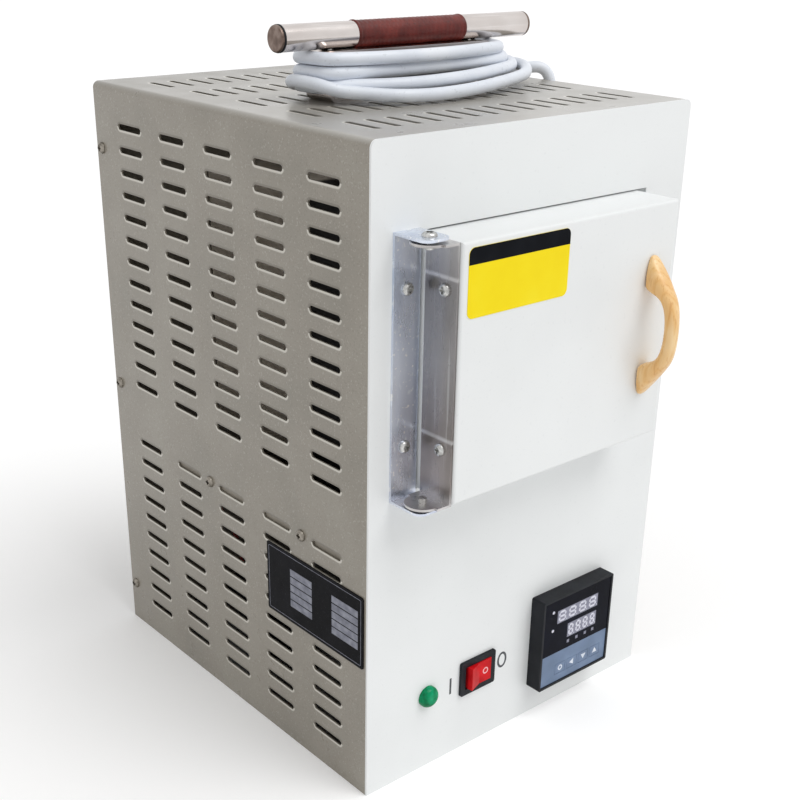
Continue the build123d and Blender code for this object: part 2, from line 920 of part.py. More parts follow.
def build_controller_bezel():
    """Square front with a sunk face and four key windows, hollow behind."""
    outline = Pos(ctrl_x, ctrl_z) * RectangleRounded(ctrl_face, ctrl_face, ctrl_corner)
    bezel = upright(outline, ctrl_front, case_front)
    sunk_w = ctrl_face - 2 * ctrl_rim
    bezel -= slab(ctrl_x, ctrl_z, sunk_w, sunk_w, ctrl_front - cut_over, ctrl_face_y)
    hollow_w = ctrl_body - 2 * ctrl_wall
    bezel -= slab(ctrl_x, ctrl_z, hollow_w, hollow_w, ctrl_front + key_stem, case_front + cut_over)
    return bezel - key_windows(ctrl_front - cut_over, ctrl_front + key_stem + cut_over)


def build_key(index):
    """Key cap in its window, with a wider foot behind the face that keeps it in."""
    x = key_centres()[index]
    foot_front = ctrl_front + key_stem + key_gap
    cap = slab(x, key_z, key_w, key_h, ctrl_face_y - key_proud, foot_front)
    cap = fillet(cap.faces().sort_by(Axis.Y)[0].edges(), key_edge_r)
    foot_w = key_w + 2 * key_foot_over
    foot_h = key_h + 2 * key_foot_over
    return cap + slab(x, key_z, foot_w, foot_h, foot_front, foot_front + key_foot_thick)


def build_controller_window():
    """Dark filter over the two displays."""
    width = ctrl_face - 2 * ctrl_rim - 2 * fit_gap
    top = ctrl_z + width / 2
    height = top - keypad_top
    return slab(ctrl_x, keypad_top + height / 2, width, height, ctrl_face_y - window_thick, ctrl_face_y)


def build_controller_keypad():
    """Printed overlay round the keys."""
    width = ctrl_face - 2 * ctrl_rim - 2 * fit_gap
    low = ctrl_z - width / 2
    height = keypad_top - low
    front = ctrl_face_y - overlay_thick
    overlay = slab(ctrl_x, low + height / 2, width, height, front, ctrl_face_y)
    return overlay - key_windows(front - cut_over, ctrl_face_y + cut_over)


def build_controller_housing():
    back = case_front + ctrl_depth
    body = slab(ctrl_x, ctrl_z, ctrl_body, ctrl_body, case_front, back)
    body = fillet(body.faces().sort_by(Axis.Y)[-1].edges(), ctrl_corner)
    inner = ctrl_body - 2 * ctrl_wall
    body -= slab(ctrl_x, ctrl_z, inner, inner, case_front - cut_over, back - ctrl_wall)
    for i in range(ctrl_vents):
        z = ctrl_z + (i - (ctrl_vents - 1) / 2) * ctrl_vent_pitch
        body -= slab(ctrl_x, z, ctrl_vent_w, ctrl_vent_h, back - ctrl_wall - cut_over, back + cut_over)
    return body


def build_controller_clamps():
    """Side clamps that pull the controller against the panel."""
    clamps = []
    front = case_front + front_sheet
    for side in (-1, 1):
        x = ctrl_x + side * (ctrl_body + clamp_thick) / 2
        clamps.append(slab(x, ctrl_z, clamp_thick, clamp_wide, front, front + clamp_len))
    return Compound(children=clamps)


def build_switch_frame():
    outline = Pos(switch_x, switch_z) * RectangleRounded(switch_w, switch_h, switch_corner)
    frame = upright(outline, case_front - switch_flange, case_front)
    back = case_front + switch_body_d
    frame += slab(switch_x, switch_z, switch_body_w, switch_body_h, case_front, back)
    well_w = switch_body_w - 2 * switch_wall
    well_h = switch_body_h - 2 * switch_wall
    well_front = case_front - switch_flange - cut_over
    frame -= slab(switch_x, switch_z, well_w, well_h, well_front, back - switch_floor)
    reach = well_h / 2 + rocker_pin_len + hole_gap
    low = (switch_x, rocker_y, switch_z - reach)
    high = (switch_x, rocker_y, switch_z + reach)
    return frame - rod(low, high, rocker_pin_d + 2 * pivot_clearance)


def build_switch_rocker():
    """Rocker on an upright pin, its face a shallow ridge, resting with the right half pressed in."""
    well_h = switch_body_h - 2 * switch_wall
    half = switch_body_w / 2 - switch_wall - rocker_side_gap
    ridge = -rocker_crown
    edge = ridge - half * math.tan(math.radians(rocker_tilt))
    right = [(half, edge), (half, edge + rocker_edge), (half * 0.8, rocker_skirt / 2), (half / 3, rocker_skirt)]
    left = [(-x, y) for x, y in reversed(right)]
    outline = make_face(Polyline((0, ridge), *right, *left, (0, ridge)))
    height = well_h - 2 * rocker_end_gap
    body = Pos(0, 0, -height / 2) * extrude(outline, height)
    pin = well_h / 2 + rocker_pin_len
    body += rod((0, 0, -pin), (0, 0, pin), rocker_pin_d)
    return Pos(switch_x, rocker_y, switch_z) * Rot(0, 0, rocker_tilt) * body


def build_switch_tabs():
    tabs = []
    back = case_front + switch_body_d
    for i in (-1, 0, 1):
        tabs.append(slab(switch_x + i * tab_pitch, switch_z, tab_t, tab_w, back, tab_end_y))
    return Compound(children=tabs)


def build_lamp_lens():
    r = lens_d / 2
    top = lens_rim + lens_dome
    profile = make_face(
        Polyline((0, 0), (r, 0), (r, lens_rim))
        + ThreePointArc((r, lens_rim), (r * 0.8, lens_rim + lens_dome * 0.72), (r * 0.45, top))
        + Polyline((r * 0.45, top), (0, top), (0, 0))
    )
    return facing(lamp_x, case_front, lamp_z, (0, -1, 0)).location * revolve(Plane.XZ * profile, Axis.Z)


def build_lamp_body():
    """Lamp's barrel with its clamping nut and two soldering tags."""
    end = case_front + lamp_body_len
    body = rod((lamp_x, case_front, lamp_z), (lamp_x, end, lamp_z), lamp_body_d)
    nut_seat = facing(lamp_x, case_front + front_sheet, lamp_z, (0, 1, 0))
    body += extrude(nut_seat * RegularPolygon(lamp_nut_d / 2, 6), lamp_nut_t)
    for side in (-1, 1):
        body += slab(lamp_x + side * lamp_body_d / 4, lamp_z, tab_t, tab_w / 2, end, end + lamp_tag_len)
    return body


def build_relay_heat_sink():
    left = sink_x - sink_w / 2
    front = sink_y - sink_d / 2
    back = sink_y + sink_d / 2
    fin_top = sheet + fin_h
    sink = block(left, left + sink_w, front, back, fin_top, fin_top + sink_base)
    step = (sink_w - fin_t) / (fin_count - 1)
    for i in range(fin_count):
        x = left + i * step
        sink += block(x, x + fin_t, front, back, sheet, fin_top)
    return sink


def build_solid_state_relay():
    """Relay block with a step for the terminals near each end."""
    left = sink_x - relay_w / 2
    front = sink_y - relay_d / 2
    base = relay_top - relay_h
    body = block(left, left + relay_w, front, front + relay_d, base, relay_top)
    step_l = left - cut_over
    step_r = left + relay_w + cut_over
    for y in (front - cut_over, front + relay_d - 2 * relay_notch):
        y1 = y + 2 * relay_notch + cut_over
        body -= block(step_l, step_r, y, y1, relay_step_z, relay_top + cut_over)
    return body


def strip_centres():
    step = strip_w / strip_ways
    first = strip_x - strip_w / 2 + step / 2
    return [first + i * step for i in range(strip_ways)]


def build_terminal_block():
    left = strip_x - strip_w / 2
    front = strip_y - strip_d / 2
    back = front + strip_d
    top = sheet + strip_h
    body = block(left, left + strip_w, front, back, sheet, top)
    half = strip_slot / 2
    for x in strip_centres():
        body -= block(x - half, x + half, front - cut_over, back + cut_over, strip_step_z, top + cut_over)
    return body


def tube_along(path, diameter):
    start = Plane(origin=path @ 0, z_dir=path % 0)
    return sweep(start * Circle(diameter / 2), path=path)


def bend_radii(points):
    """Radius at each inner point: 0.45 of the shorter run over the tangent of half the turn."""
    radii = []
    for before, here, after in zip(points, points[1:], points[2:]):
        a = Vector(*here) - Vector(*before)
        b = Vector(*after) - Vector(*here)
        half_turn = math.radians(a.get_angle(b)) / 2
        radii.append(0.45 * min(a.length, b.length) / math.tan(half_turn))
    return radii


def route_path(points):
    return FilletPolyline(*points, radius=bend_radii(points))


def build_internal_wiring():
    """Leads from the terminal block to the switch, relay and element, and the thermocouple's lead."""
    wire_z = strip_step_z + wire_d / 2 + wire_gap
    first_way = strip_centres()[0]
    strip_front = strip_y - strip_d / 2 - wire_gap
    left_tab = switch_x - tab_pitch
    right_tab = switch_x + tab_pitch
    tab_y = tab_end_y + wire_gap
    relay_in_y = sink_y - relay_d / 2 + relay_notch
    relay_out_y = sink_y + relay_d / 2 - relay_notch
    relay_z = relay_step_z + wire_gap
    relay_x = sink_x - relay_w / 4
    x_end = element_x(-1)
    y_end = furnace_back + bead_len + wire_gap
    z_end = element_heights()[0]
    probe_y = furnace_back + probe_head_len + wire_gap
    ctrl_y = case_front + ctrl_depth + wire_gap
    live_in = [
        (first_way, strip_front, wire_z), (first_way, 60, wire_z + 2), (20, 20, 22), (-15, -40, 30),
        (right_tab, -85, 50), (right_tab, tab_y, switch_z)
    ]
    to_relay = [
        (left_tab, tab_y, switch_z), (left_tab, -90, 54), (-60, -50, 60), (-66, -5, 66),
        (relay_x, relay_in_y, relay_top + 8), (relay_x, relay_in_y, relay_z)
    ]
    to_element = [
        (relay_x, relay_out_y, relay_z), (relay_x, relay_out_y, relay_top + 20), (-80, 110, 110),
        (-84, 118, 180), (x_end - 6, 110, 240), (x_end, y_end + 14, z_end), (x_end, y_end, z_end)
    ]
    probe_lead = [
        (chamber_x, probe_y, sheath_z), (chamber_x, probe_y + 16, sheath_z), (chamber_x + 6, 118, 300),
        (20, 122, 240), (34, 118, 160), (44, 60, 110), (ctrl_x, -10, 84),
        (ctrl_x, ctrl_y + 14, ctrl_z + 16), (ctrl_x, ctrl_y, ctrl_z + 16)
    ]
    runs = [live_in, to_relay, to_element, probe_lead]
    return Compound(children=[tube_along(route_path(run), wire_d) for run in runs])


# Cord routes, listed by hand. The lead goes from the gland up the back and over the rear edge to
# the coil, which lies round the carrying handle's legs. The tail hangs over the right edge.
relief_tip_y = case_back + relief_len
lead_route = [
    (gland_x, relief_tip_y, gland_z), (gland_x, 190, gland_z), (100.2, 207, 73.5), (100.5, 215, 93),
    (100.6, 216.5, 118), (100.5, 213, 156), (100, 205, 206), (99, 194, 258), (98, 183, 308),
    (97, 173.4, 350), (96.2, 166.4, 381), (95.7, 162.2, 405), (95.2, 152.5, 426.2), (94.8, 132, 425.2),
    (94.2, 108, 424.3), (93, 84, 424.7), (91, 63, 429), (89.3, 46, 437.5), (87.8, 31, 445.2)
]
tail_route = [
    (66, 19, 424.2), (88, 13, 424.2), (107, 2, 425.4), (122, -9.5, 427), (133, -17.3, 428.4),
    (138.4, -21.6, 420.5), (138.4, -22.3, 405), (139, -22.6, 382), (140.5, -23, 350),
    (143, -23.4, 316), (144.6, -23.6, 286), (144.6, -23.6, 262)
]

# The coil's four turns from the top one down, clockwise seen from above. Each has its right, front,
# left and rear reach with the height there, and the tangent lengths of its right and left ends.
coil_mid_y = bar_y
coil_left_straight = 18.0
coil_right = [(80.2, 445.8), (81.3, 437.2), (87.6, 429.5), (98.0, 434.9)]
coil_front = [(-38.7, 446.0), (-38.7, 436.9), (-45.0, 429.1), (-60.0, cord_on_top)]
coil_left = [(-72.5, 445.8), (-72.6, 437.2), (-72.5, 428.6), (-82.0, cord_on_top)]
coil_rear = [(2.8, 446.6), (9.0, 437.6), (19.1, 431.6), (24.3, cord_on_top)]
coil_front_x = [2.0, 2.0, 4.0, 8.0]
coil_rear_x = [6.0, 8.0, 10.0, 4.0]
coil_right_tangent = [17.4, 16.8, 18.9, 23.7]
coil_left_tangent = [11.8, 11.0, 10.3, 14.0]


def arc_or_line(start, tangent, end):
    if (end - start).get_angle(tangent) < 0.01:
        return Edge.make_line(start, end)
    return Edge.make_tangent_arc(start, tangent, end)


def biarc(p0, t0, p1, t1, first=None, last=None):
    """Two arcs from p0 along t0 to p1 along t1, with the first or last tangent length, or equal ones."""
    v = p1 - p0
    bend = 1 - t0.dot(t1)
    if first is not None:
        last = (v.dot(v) / 2 - first * v.dot(t0)) / (v.dot(t1) + first * bend)
    elif last is not None:
        first = (v.dot(v) / 2 - last * v.dot(t1)) / (v.dot(t0) + last * bend)
    else:
        both = v.dot(t0 + t1)
        first = v.dot(v) / (math.sqrt(both ** 2 + 2 * bend * v.dot(v)) + both)
        last = first
    q0 = p0 + t0 * first
    q1 = p1 - t1 * last
    joint = q0 + (q1 - q0) * (first / (first + last))
    middle = (q1 - q0).normalized()
    return [arc_or_line(p0, t0, joint), arc_or_line(joint, middle, p1)]


def coil_stations():
    """Place, plan heading and turn number at each side of each turn, in order along the cord."""
    half = coil_left_straight / 2
    stations = []
    for i in range(len(coil_right)):
        x, z = coil_right[i]
        stations.append(((x, coil_mid_y, z), (0, -1), i))
        y, z = coil_front[i]
        stations.append(((coil_front_x[i], y, z), (-1, 0), i))
        x, z = coil_left[i]
        stations.append(((x, coil_mid_y - half, z), (0, 1), i))
        stations.append(((x, coil_mid_y + half, z), (0, 1), i))
        y, z = coil_rear[i]
        stations.append(((coil_rear_x[i], y, z), (1, 0), i))
    return stations


def climb(before, here, after):
    """Slope at a station: the gentler of its two sides, or level where they differ in sign."""
    slopes = [(b.Z - a.Z) / (b - a).length for a, b in ((before, here), (here, after))]
    if slopes[0] * slopes[1] <= 0:
        return 0.0
    return min(slopes, key=abs)


def coil_edges():
    """Centre line of the coil from the lead's end to the tail's start."""
    start = Vector(*lead_route[-1])
    start_dir = (start - Vector(*lead_route[-2])).normalized()
    end = Vector(*tail_route[0])
    end_dir = (Vector(*tail_route[1]) - end).normalized()
    stations = coil_stations()
    places = [start + start_dir * cord_d] + [Vector(*s[0]) for s in stations] + [end]
    knots = [(places[0], start_dir)]
    for k, (place, heading, turn) in enumerate(stations, start=1):
        slope = climb(places[k - 1], places[k], places[k + 1])
        knots.append((places[k], Vector(*heading, slope).normalized()))
    knots.append((end - end_dir * cord_d, end_dir))
    edges = [Edge.make_line(start, knots[0][0])]
    edges += biarc(*knots[0], *knots[1])
    per_turn = len(stations) // len(coil_right)
    for k in range(len(stations) - 1):
        turn = stations[k][2]
        side = k % per_turn
        ends = knots[k + 1] + knots[k + 2]
        if side == 0:
            edges += biarc(*ends, first=coil_right_tangent[turn])
        elif side == 1:
            edges += biarc(*ends, last=coil_left_tangent[turn])
        elif side == 2:
            edges += biarc(*ends)
        elif side == 3:
            edges += biarc(*ends, first=coil_left_tangent[turn])
        else:
            edges += biarc(*ends, last=coil_right_tangent[turn + 1])
    edges += biarc(*knots[-2], *knots[-1])
    edges.append(Edge.make_line(knots[-1][0], end))
    return edges


def points_along(edges, step):
    """Points of a chain of edges, each with its distance along the chain."""
    points = []
    run = 0.0
    for edge in edges:
        count = max(2, int(edge.length / step))
        for i in range(count):
            p = edge @ (i / count)
            points.append((run + edge.length * i / count, p.X, p.Y, p.Z))
        run += edge.length
    return points


def least_gap(points, diameter):
    """Least space between stretches of one tube that lie apart along it."""
    least = math.inf
    for i, a in enumerate(points):
        for b in points[i + 1:]:
            if b[0] - a[0] > 5 * diameter:
                least = min(least, math.dist(a[1:], b[1:]))
    return least - diameter


def build_power_cord_coil():
    return tube_along(Wire(coil_edges()), cord_d)


def print_cord():
    """Radii, lengths and least gap of the cord, and each volume against section times length."""
    section = math.pi * cord_r ** 2
    total = 0.0
    for name, route in (("lead", lead_route), ("tail", tail_route)):
        path = route_path(route)
        ratio = tube_along(path, cord_d).volume / (section * path.length)
        total += path.length
        print(name, "radii", [round(r, 1) for r in bend_radii(route)])
        print(name, "length", round(path.length, 1), "volume over section times length", round(ratio, 4))
    edges = coil_edges()
    length = sum(edge.length for edge in edges)
    ratio = build_power_cord_coil().volume / (section * length)
    radii = [edge.radius for edge in edges if edge.geom_type == GeomType.CIRCLE]
    print("coil length", round(length, 1), "volume over section times length", round(ratio, 4))
    print("coil least radius", round(min(radii), 1))
    print("coil least gap to itself", round(least_gap(points_along(edges, 2.0), cord_d), 2))
    print("cord length in all", round(total + length, 1))


def build_cord_gland():
    """Nut and tapered strain relief on the back panel, with a stem and lock nut inside."""
    inside = case_back - sheet
    through = facing(gland_x, case_back, gland_z, (0, 1, 0))
    nut = extrude(through * RegularPolygon(nut_d / 2, 6), nut_t)
    base = facing(gland_x, case_back + nut_t, gland_z, (0, 1, 0)) * Circle(relief_base_d / 2)
    tip = facing(gland_x, relief_tip_y, gland_z, (0, 1, 0)) * Circle(relief_tip_d / 2)
    stem = rod((gland_x, inside - stem_len, gland_z), (gland_x, case_back, gland_z), gland_hole_d - hole_gap)
    lock_seat = facing(gland_x, inside, gland_z, (0, -1, 0))
    return nut + loft([base, tip]) + stem + extrude(lock_seat * RegularPolygon(nut_d / 2, 6), lock_nut_t)


def build_power_plug():
    x, y, z = tail_route[-1]
    top = z - plug_boot_len
    narrow = facing(x, y, z, (0, 0, -1)) * Circle(plug_boot_d / 2)
    wide = facing(x, y, top, (0, 0, -1)) * RectangleRounded(plug_boot_w, plug_boot_w, plug_boot_w / 3)
    body = block(x - plug_t / 2, x + plug_t / 2, y - plug_w / 2, y + plug_w / 2, top - plug_len, top)
    body = fillet(body.edges().filter_by(Axis.Z), plug_side_r)
    body = fillet(body.faces().sort_by(Axis.Z)[-1].edges(), plug_top_r)
    return loft([narrow, wide]) + body


def build_plug_pins():
    """Three flat pins, the upright earth one longer than the two set aslant."""
    x, y, z = tail_route[-1]
    face = z - plug_boot_len - plug_len
    earth_len = pin_len + earth_extra
    pins = [Pos(x + pin_offset, y, face - earth_len / 2) * Box(pin_thick, pin_wide, earth_len)]
    for side in (-1, 1):
        pin = Rot(0, 0, side * pin_turn) * Box(pin_wide, pin_thick, pin_len)
        pins.append(Pos(x - pin_offset, y + side * pin_spread, face - pin_len / 2) * pin)
    return Compound(children=pins)


builders = {
    "outer_shell": build_outer_shell,
    "front_panel": build_front_panel,
    "back_panel": build_back_panel,
    "base_plate": build_base_plate,
    "partition_shelf": build_partition_shelf,
    "case_screws": build_case_screws,
    "furnace_rails": build_furnace_rails,
    "furnace_casing": build_furnace_casing,
    "insulation_left": lambda: build_side_board(-1),
    "insulation_right": lambda: build_side_board(1),
    "insulation_top": build_top_board,
    "insulation_bottom": build_bottom_board,
    "insulation_rear": build_rear_board,
    "hearth_plate": build_hearth_plate,
    "mouth_frame": build_mouth_frame,
    "heating_elements": build_heating_elements,
    "element_beads": build_element_beads,
    "thermocouple": build_thermocouple,
    "door_skin": build_door_skin,
    "door_insulation": build_door_insulation,
    "door_inner_frame": build_door_inner_frame,
    "door_label": build_door_label,
    "hinge_door_leaf": build_hinge_door_leaf,
    "hinge_panel_leaf": build_hinge_panel_leaf,
    "hinge_pivots": build_hinge_pivots,
    "hinge_panel_screws": build_hinge_panel_screws,
    "hinge_door_screws": build_hinge_door_screws,
    "door_pull": build_door_pull,
    "door_pull_screws": build_door_pull_screws,
    "handle_bar": build_handle_bar,
    "handle_tube": build_handle_tube,
    "handle_grip": build_handle_grip,
    "handle_caps": build_handle_caps,
    "handle_screws": build_handle_screws,
    "rating_plate": build_rating_plate,
    "controller_bezel": build_controller_bezel,
    "controller_window": build_controller_window,
    "controller_keypad": build_controller_keypad,
    "controller_housing": build_controller_housing,
    "controller_clamps": build_controller_clamps,
    "key_set": lambda: build_key(0),
    "key_shift": lambda: build_key(1),
    "key_down": lambda: build_key(2),
    "key_up": lambda: build_key(3),
    "switch_frame": build_switch_frame,
    "switch_rocker": build_switch_rocker,
    "switch_tabs": build_switch_tabs,
    "lamp_lens": build_lamp_lens,
    "lamp_body": build_lamp_body,
    "relay_heat_sink": build_relay_heat_sink,
    "solid_state_relay": build_solid_state_relay,
    "terminal_block": build_terminal_block,
    "internal_wiring": build_internal_wiring,
    "cord_gland": build_cord_gland,
    "power_cord_lead": lambda: tube_along(route_path(lead_route), cord_d),
    "power_cord_coil": build_power_cord_coil,
    "power_cord_tail": lambda: tube_along(route_path(tail_route), cord_d),
    "power_plug": build_power_plug,
    "plug_pins": build_plug_pins,
}

for name, build in builders.items():
    save(name, build())
print_cord()
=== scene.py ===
import math

import bmesh
import bpy
from mathutils import Matrix, Vector


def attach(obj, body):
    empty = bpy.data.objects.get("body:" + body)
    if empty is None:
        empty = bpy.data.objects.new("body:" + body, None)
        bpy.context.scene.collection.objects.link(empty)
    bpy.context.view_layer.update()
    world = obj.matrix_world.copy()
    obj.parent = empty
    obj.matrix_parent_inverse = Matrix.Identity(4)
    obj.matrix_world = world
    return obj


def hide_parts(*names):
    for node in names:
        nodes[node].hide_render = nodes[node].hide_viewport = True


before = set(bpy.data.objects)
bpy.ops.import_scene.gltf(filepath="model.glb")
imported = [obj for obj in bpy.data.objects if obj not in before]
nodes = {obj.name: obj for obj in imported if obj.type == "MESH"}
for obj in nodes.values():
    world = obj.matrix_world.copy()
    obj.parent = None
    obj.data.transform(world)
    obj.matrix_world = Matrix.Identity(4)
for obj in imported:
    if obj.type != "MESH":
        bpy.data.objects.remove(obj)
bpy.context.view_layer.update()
mm = 0.001
print("kiln frame loaded:", len(nodes), "nodes")


# materials

def hexToLinear(code):
    channels = [int(code[i:i + 2], 16) / 255 for i in (0, 2, 4)]
    linear = [c / 12.92 if c <= 0.04045 else ((c + 0.055) / 1.055) ** 2.4 for c in channels]
    return (*linear, 1.0)


def addNode(tree, kind, values=None, links=None, stops=None, **settings):
    # stops are for a colour ramp: each a position, with a hex code or a level of grey
    node = tree.nodes.new("ShaderNode" + kind)
    for name, value in settings.items():
        setattr(node, name, value)
    if stops:
        ramp = node.color_ramp.elements
        while len(ramp) < len(stops):
            ramp.new(1.0)
        for element, (position, tone) in zip(ramp, stops):
            element.position = position
            element.color = hexToLinear(tone) if isinstance(tone, str) else grey(tone)
    for name, value in (values or {}).items():
        node.inputs[name].default_value = value
    for name, socket in (links or {}).items():
        tree.links.new(socket, node.inputs[name])
    return node


def grey(level):
    return (level, level, level, 1.0)


def newMaterial(name, values):
    material = bpy.data.materials.new(name)
    material.use_nodes = True
    shader = material.node_tree.nodes["Principled BSDF"]
    for socket, value in values.items():
        shader.inputs[socket].default_value = value
    return material, material.node_tree, shader


def outsideBox(tree, place, half):
    # how far a place lies outside a box of these half sizes, with its middle at the origin
    away = addNode(tree, "VectorMath", links={0: place}, operation="ABSOLUTE").outputs[0]
    past = addNode(tree, "VectorMath", {1: half}, {0: away}, operation="SUBTRACT").outputs[0]
    kept = addNode(tree, "VectorMath", {1: (0, 0, 0)}, {0: past}, operation="MAXIMUM").outputs[0]
    return addNode(tree, "VectorMath", links={0: kept}, operation="LENGTH").outputs["Value"]


def paintSlotHighlightAndShade(tree, place, colour, look):
    # painted light round each punched slot: a pale painted highlight on one side, where the cut edge catches
    # light, and a darker painted shade on the other. The slots repeat, so each place is wrapped to the slot
    # nearest to it
    radius = look["wideMm"] / 2
    straight = look["longMm"] / 2 - radius
    for panel in look["panels"]:
        away = Vector(panel["normal"]) * look["farMm"]
        reach = (Vector(panel["pitch"]) + away) * mm / 2
        fromSlot = addNode(tree, "VectorMath", {1: Vector(look["slotAt"]) * mm}, {0: place},
                           operation="SUBTRACT").outputs[0]
        nearest = addNode(tree, "VectorMath", {1: reach, 2: -reach}, {0: fromSlot},
                          operation="WRAP").outputs[0]
        distance = outsideBox(tree, nearest, (Vector((0, straight, 0)) + away) * mm)
        rim = addNode(tree, "MapRange", {1: (radius + look["coreMm"]) * mm, 2: (radius + look["rimMm"]) * mm,
                                         3: look["strength"], 4: 0.0}, {0: distance}).outputs[0]
        fromMiddle = addNode(tree, "VectorMath", {1: Vector(panel["middle"]) * mm}, {0: place},
                             operation="SUBTRACT").outputs[0]
        outside = outsideBox(tree, fromMiddle, Vector(panel["half"]) * mm)
        onFace = addNode(tree, "Math", {1: look["touchMm"] * mm}, {0: outside}, operation="LESS_THAN")
        mask = addNode(tree, "Math", links={0: rim, 1: onFace.outputs[0]}, operation="MULTIPLY").outputs[0]
        # the low side of each slot gets the pale painted highlight, the other side the painted shade
        across = addNode(tree, "VectorMath", {1: panel["across"]}, {0: nearest},
                         operation="DOT_PRODUCT").outputs["Value"]
        low = addNode(tree, "Math", {1: 0.0}, {0: across}, operation="LESS_THAN").outputs[0]
        tone = addNode(tree, "Mix", {6: hexToLinear(look["shade"]), 7: hexToLinear(look["pale"])}, {0: low},
                       data_type="RGBA").outputs[2]
        colour = addNode(tree, "Mix", links={0: mask, 6: colour, 7: tone}, data_type="RGBA").outputs[2]
    return colour


noiseRange = (0.3, 0.7)  # nearly all of a noise's values lie between these
speckSpread, speckSoft = 0.22, 0.03  # how cover moves a speck's edge in the noise, and how soft the edge is
rubStops = (0.58, 0.7)  # the noise values where a rub starts and is at its full strength


def toneAlong(tree, place, look):
    # painted light and shade: tones that follow one another along an axis
    parts = addNode(tree, "SeparateXYZ", links={0: place}).outputs
    share = addNode(tree, "MapRange", {1: look["fromMm"] * mm, 2: look["toMm"] * mm},
                    {0: parts[look["axis"]]}).outputs[0]
    return addNode(tree, "ValToRGB", links={0: share}, stops=look["tones"]).outputs[0]


def layeredFinish(name, look):
    # colour drifts over patchMm with specks in it, gloss drifts over glossMm, and grainMm is a fine relief
    material, tree, shader = newMaterial(name, look["shader"])
    place = addNode(tree, "TexCoord").outputs["Object"]
    along = addNode(tree, "Mapping", {"Scale": look.get("stretch", (1, 1, 1))}, {"Vector": place}).outputs[0]

    drift = addNode(tree, "TexNoise", {"Scale": 1 / (look["patchMm"] * mm), "Detail": 3.0}, {"Vector": along})
    start, end = noiseRange
    step = (end - start) / (len(look["colours"]) - 1)
    shades = [(start + step * i, code) for i, code in enumerate(look["colours"])]
    colour = addNode(tree, "ValToRGB", links={0: drift.outputs[0]}, stops=shades).outputs[0]

    for speck in look.get("specks", []):
        dots = addNode(tree, "TexNoise", {"Scale": 1 / (speck["mm"] * mm), "Detail": 1.0}, {"Vector": place})
        edge = 0.5 + speckSpread * (1 - 2 * speck["cover"])
        mask = addNode(tree, "ValToRGB", links={0: dots.outputs[0]},
                       stops=[(edge - speckSoft, 0), (edge + speckSoft, speck["strength"])]).outputs[0]
        colour = addNode(tree, "Mix", {7: hexToLinear(speck["colour"])}, {0: mask, 6: colour},
                         data_type="RGBA").outputs[2]

    # painted light and shade, in tones along one axis
    if "paintedLight" in look:  # the whole piece changes tone along one axis
        tone = toneAlong(tree, place, look["paintedLight"])
        colour = addNode(tree, "Mix", {0: 1.0}, {6: colour, 7: tone}, data_type="RGBA",
                         blend_type="MULTIPLY").outputs[2]

    # painted light on the flat top: lighter at its front edge, darker towards the rear
    if "paintedTopLight" in look:  # the flat top has its own tones, from the front edge to the rear
        top = look["paintedTopLight"]
        height = addNode(tree, "SeparateXYZ", links={0: place}).outputs[2]
        mask = addNode(tree, "MapRange", {1: (top["heightMm"] - top["blendMm"]) * mm, 2: top["heightMm"] * mm,
                                          4: top["strength"]}, {0: height}).outputs[0]
        colour = addNode(tree, "Mix", links={0: mask, 6: colour, 7: toneAlong(tree, place, top)},
                         data_type="RGBA").outputs[2]

    # painted highlight and painted shade round each slot
    if "slotHighlightAndShade" in look:
        colour = paintSlotHighlightAndShade(tree, place, colour, look["slotHighlightAndShade"])

    if "scratchMm" in look:  # short bright rubs along the sheet
        rub = addNode(tree, "Mapping", {"Scale": look.get("scratchStretch", (1, 1, 0.04))}, {"Vector": place})
        lines = addNode(tree, "TexNoise", {"Scale": 1 / (look["scratchMm"] * mm), "Detail": 6.0},
                        {"Vector": rub.outputs[0]})
        mask = addNode(tree, "ValToRGB", links={0: lines.outputs[0]},
                       stops=[(rubStops[0], 0), (rubStops[1], look["scratchStrength"])]).outputs[0]
        colour = addNode(tree, "Mix", {7: hexToLinear(look["scratchColour"])}, {0: mask, 6: colour},
                         data_type="RGBA").outputs[2]
    tree.links.new(colour, shader.inputs["Base Color"])

    low, high = look["roughness"]
    gloss = addNode(tree, "TexNoise", {"Scale": 1 / (look["glossMm"] * mm), "Detail": 4.0}, {"Vector": along})
    matt = addNode(tree, "MapRange", {1: start, 2: end, 3: low, 4: high}, {0: gloss.outputs[0]})
    tree.links.new(matt.outputs[0], shader.inputs["Roughness"])

    grain = addNode(tree, "TexNoise", {"Scale": 1 / (look["grainMm"] * mm), "Detail": 2.0}, {"Vector": along})
    bump = addNode(tree, "Bump", {"Strength": look.get("grainStrength", 0.4),
                                  "Distance": look["grainHighMm"] * mm}, {"Height": grain.outputs[0]})
    tree.links.new(bump.outputs[0], shader.inputs["Normal"])
    return material


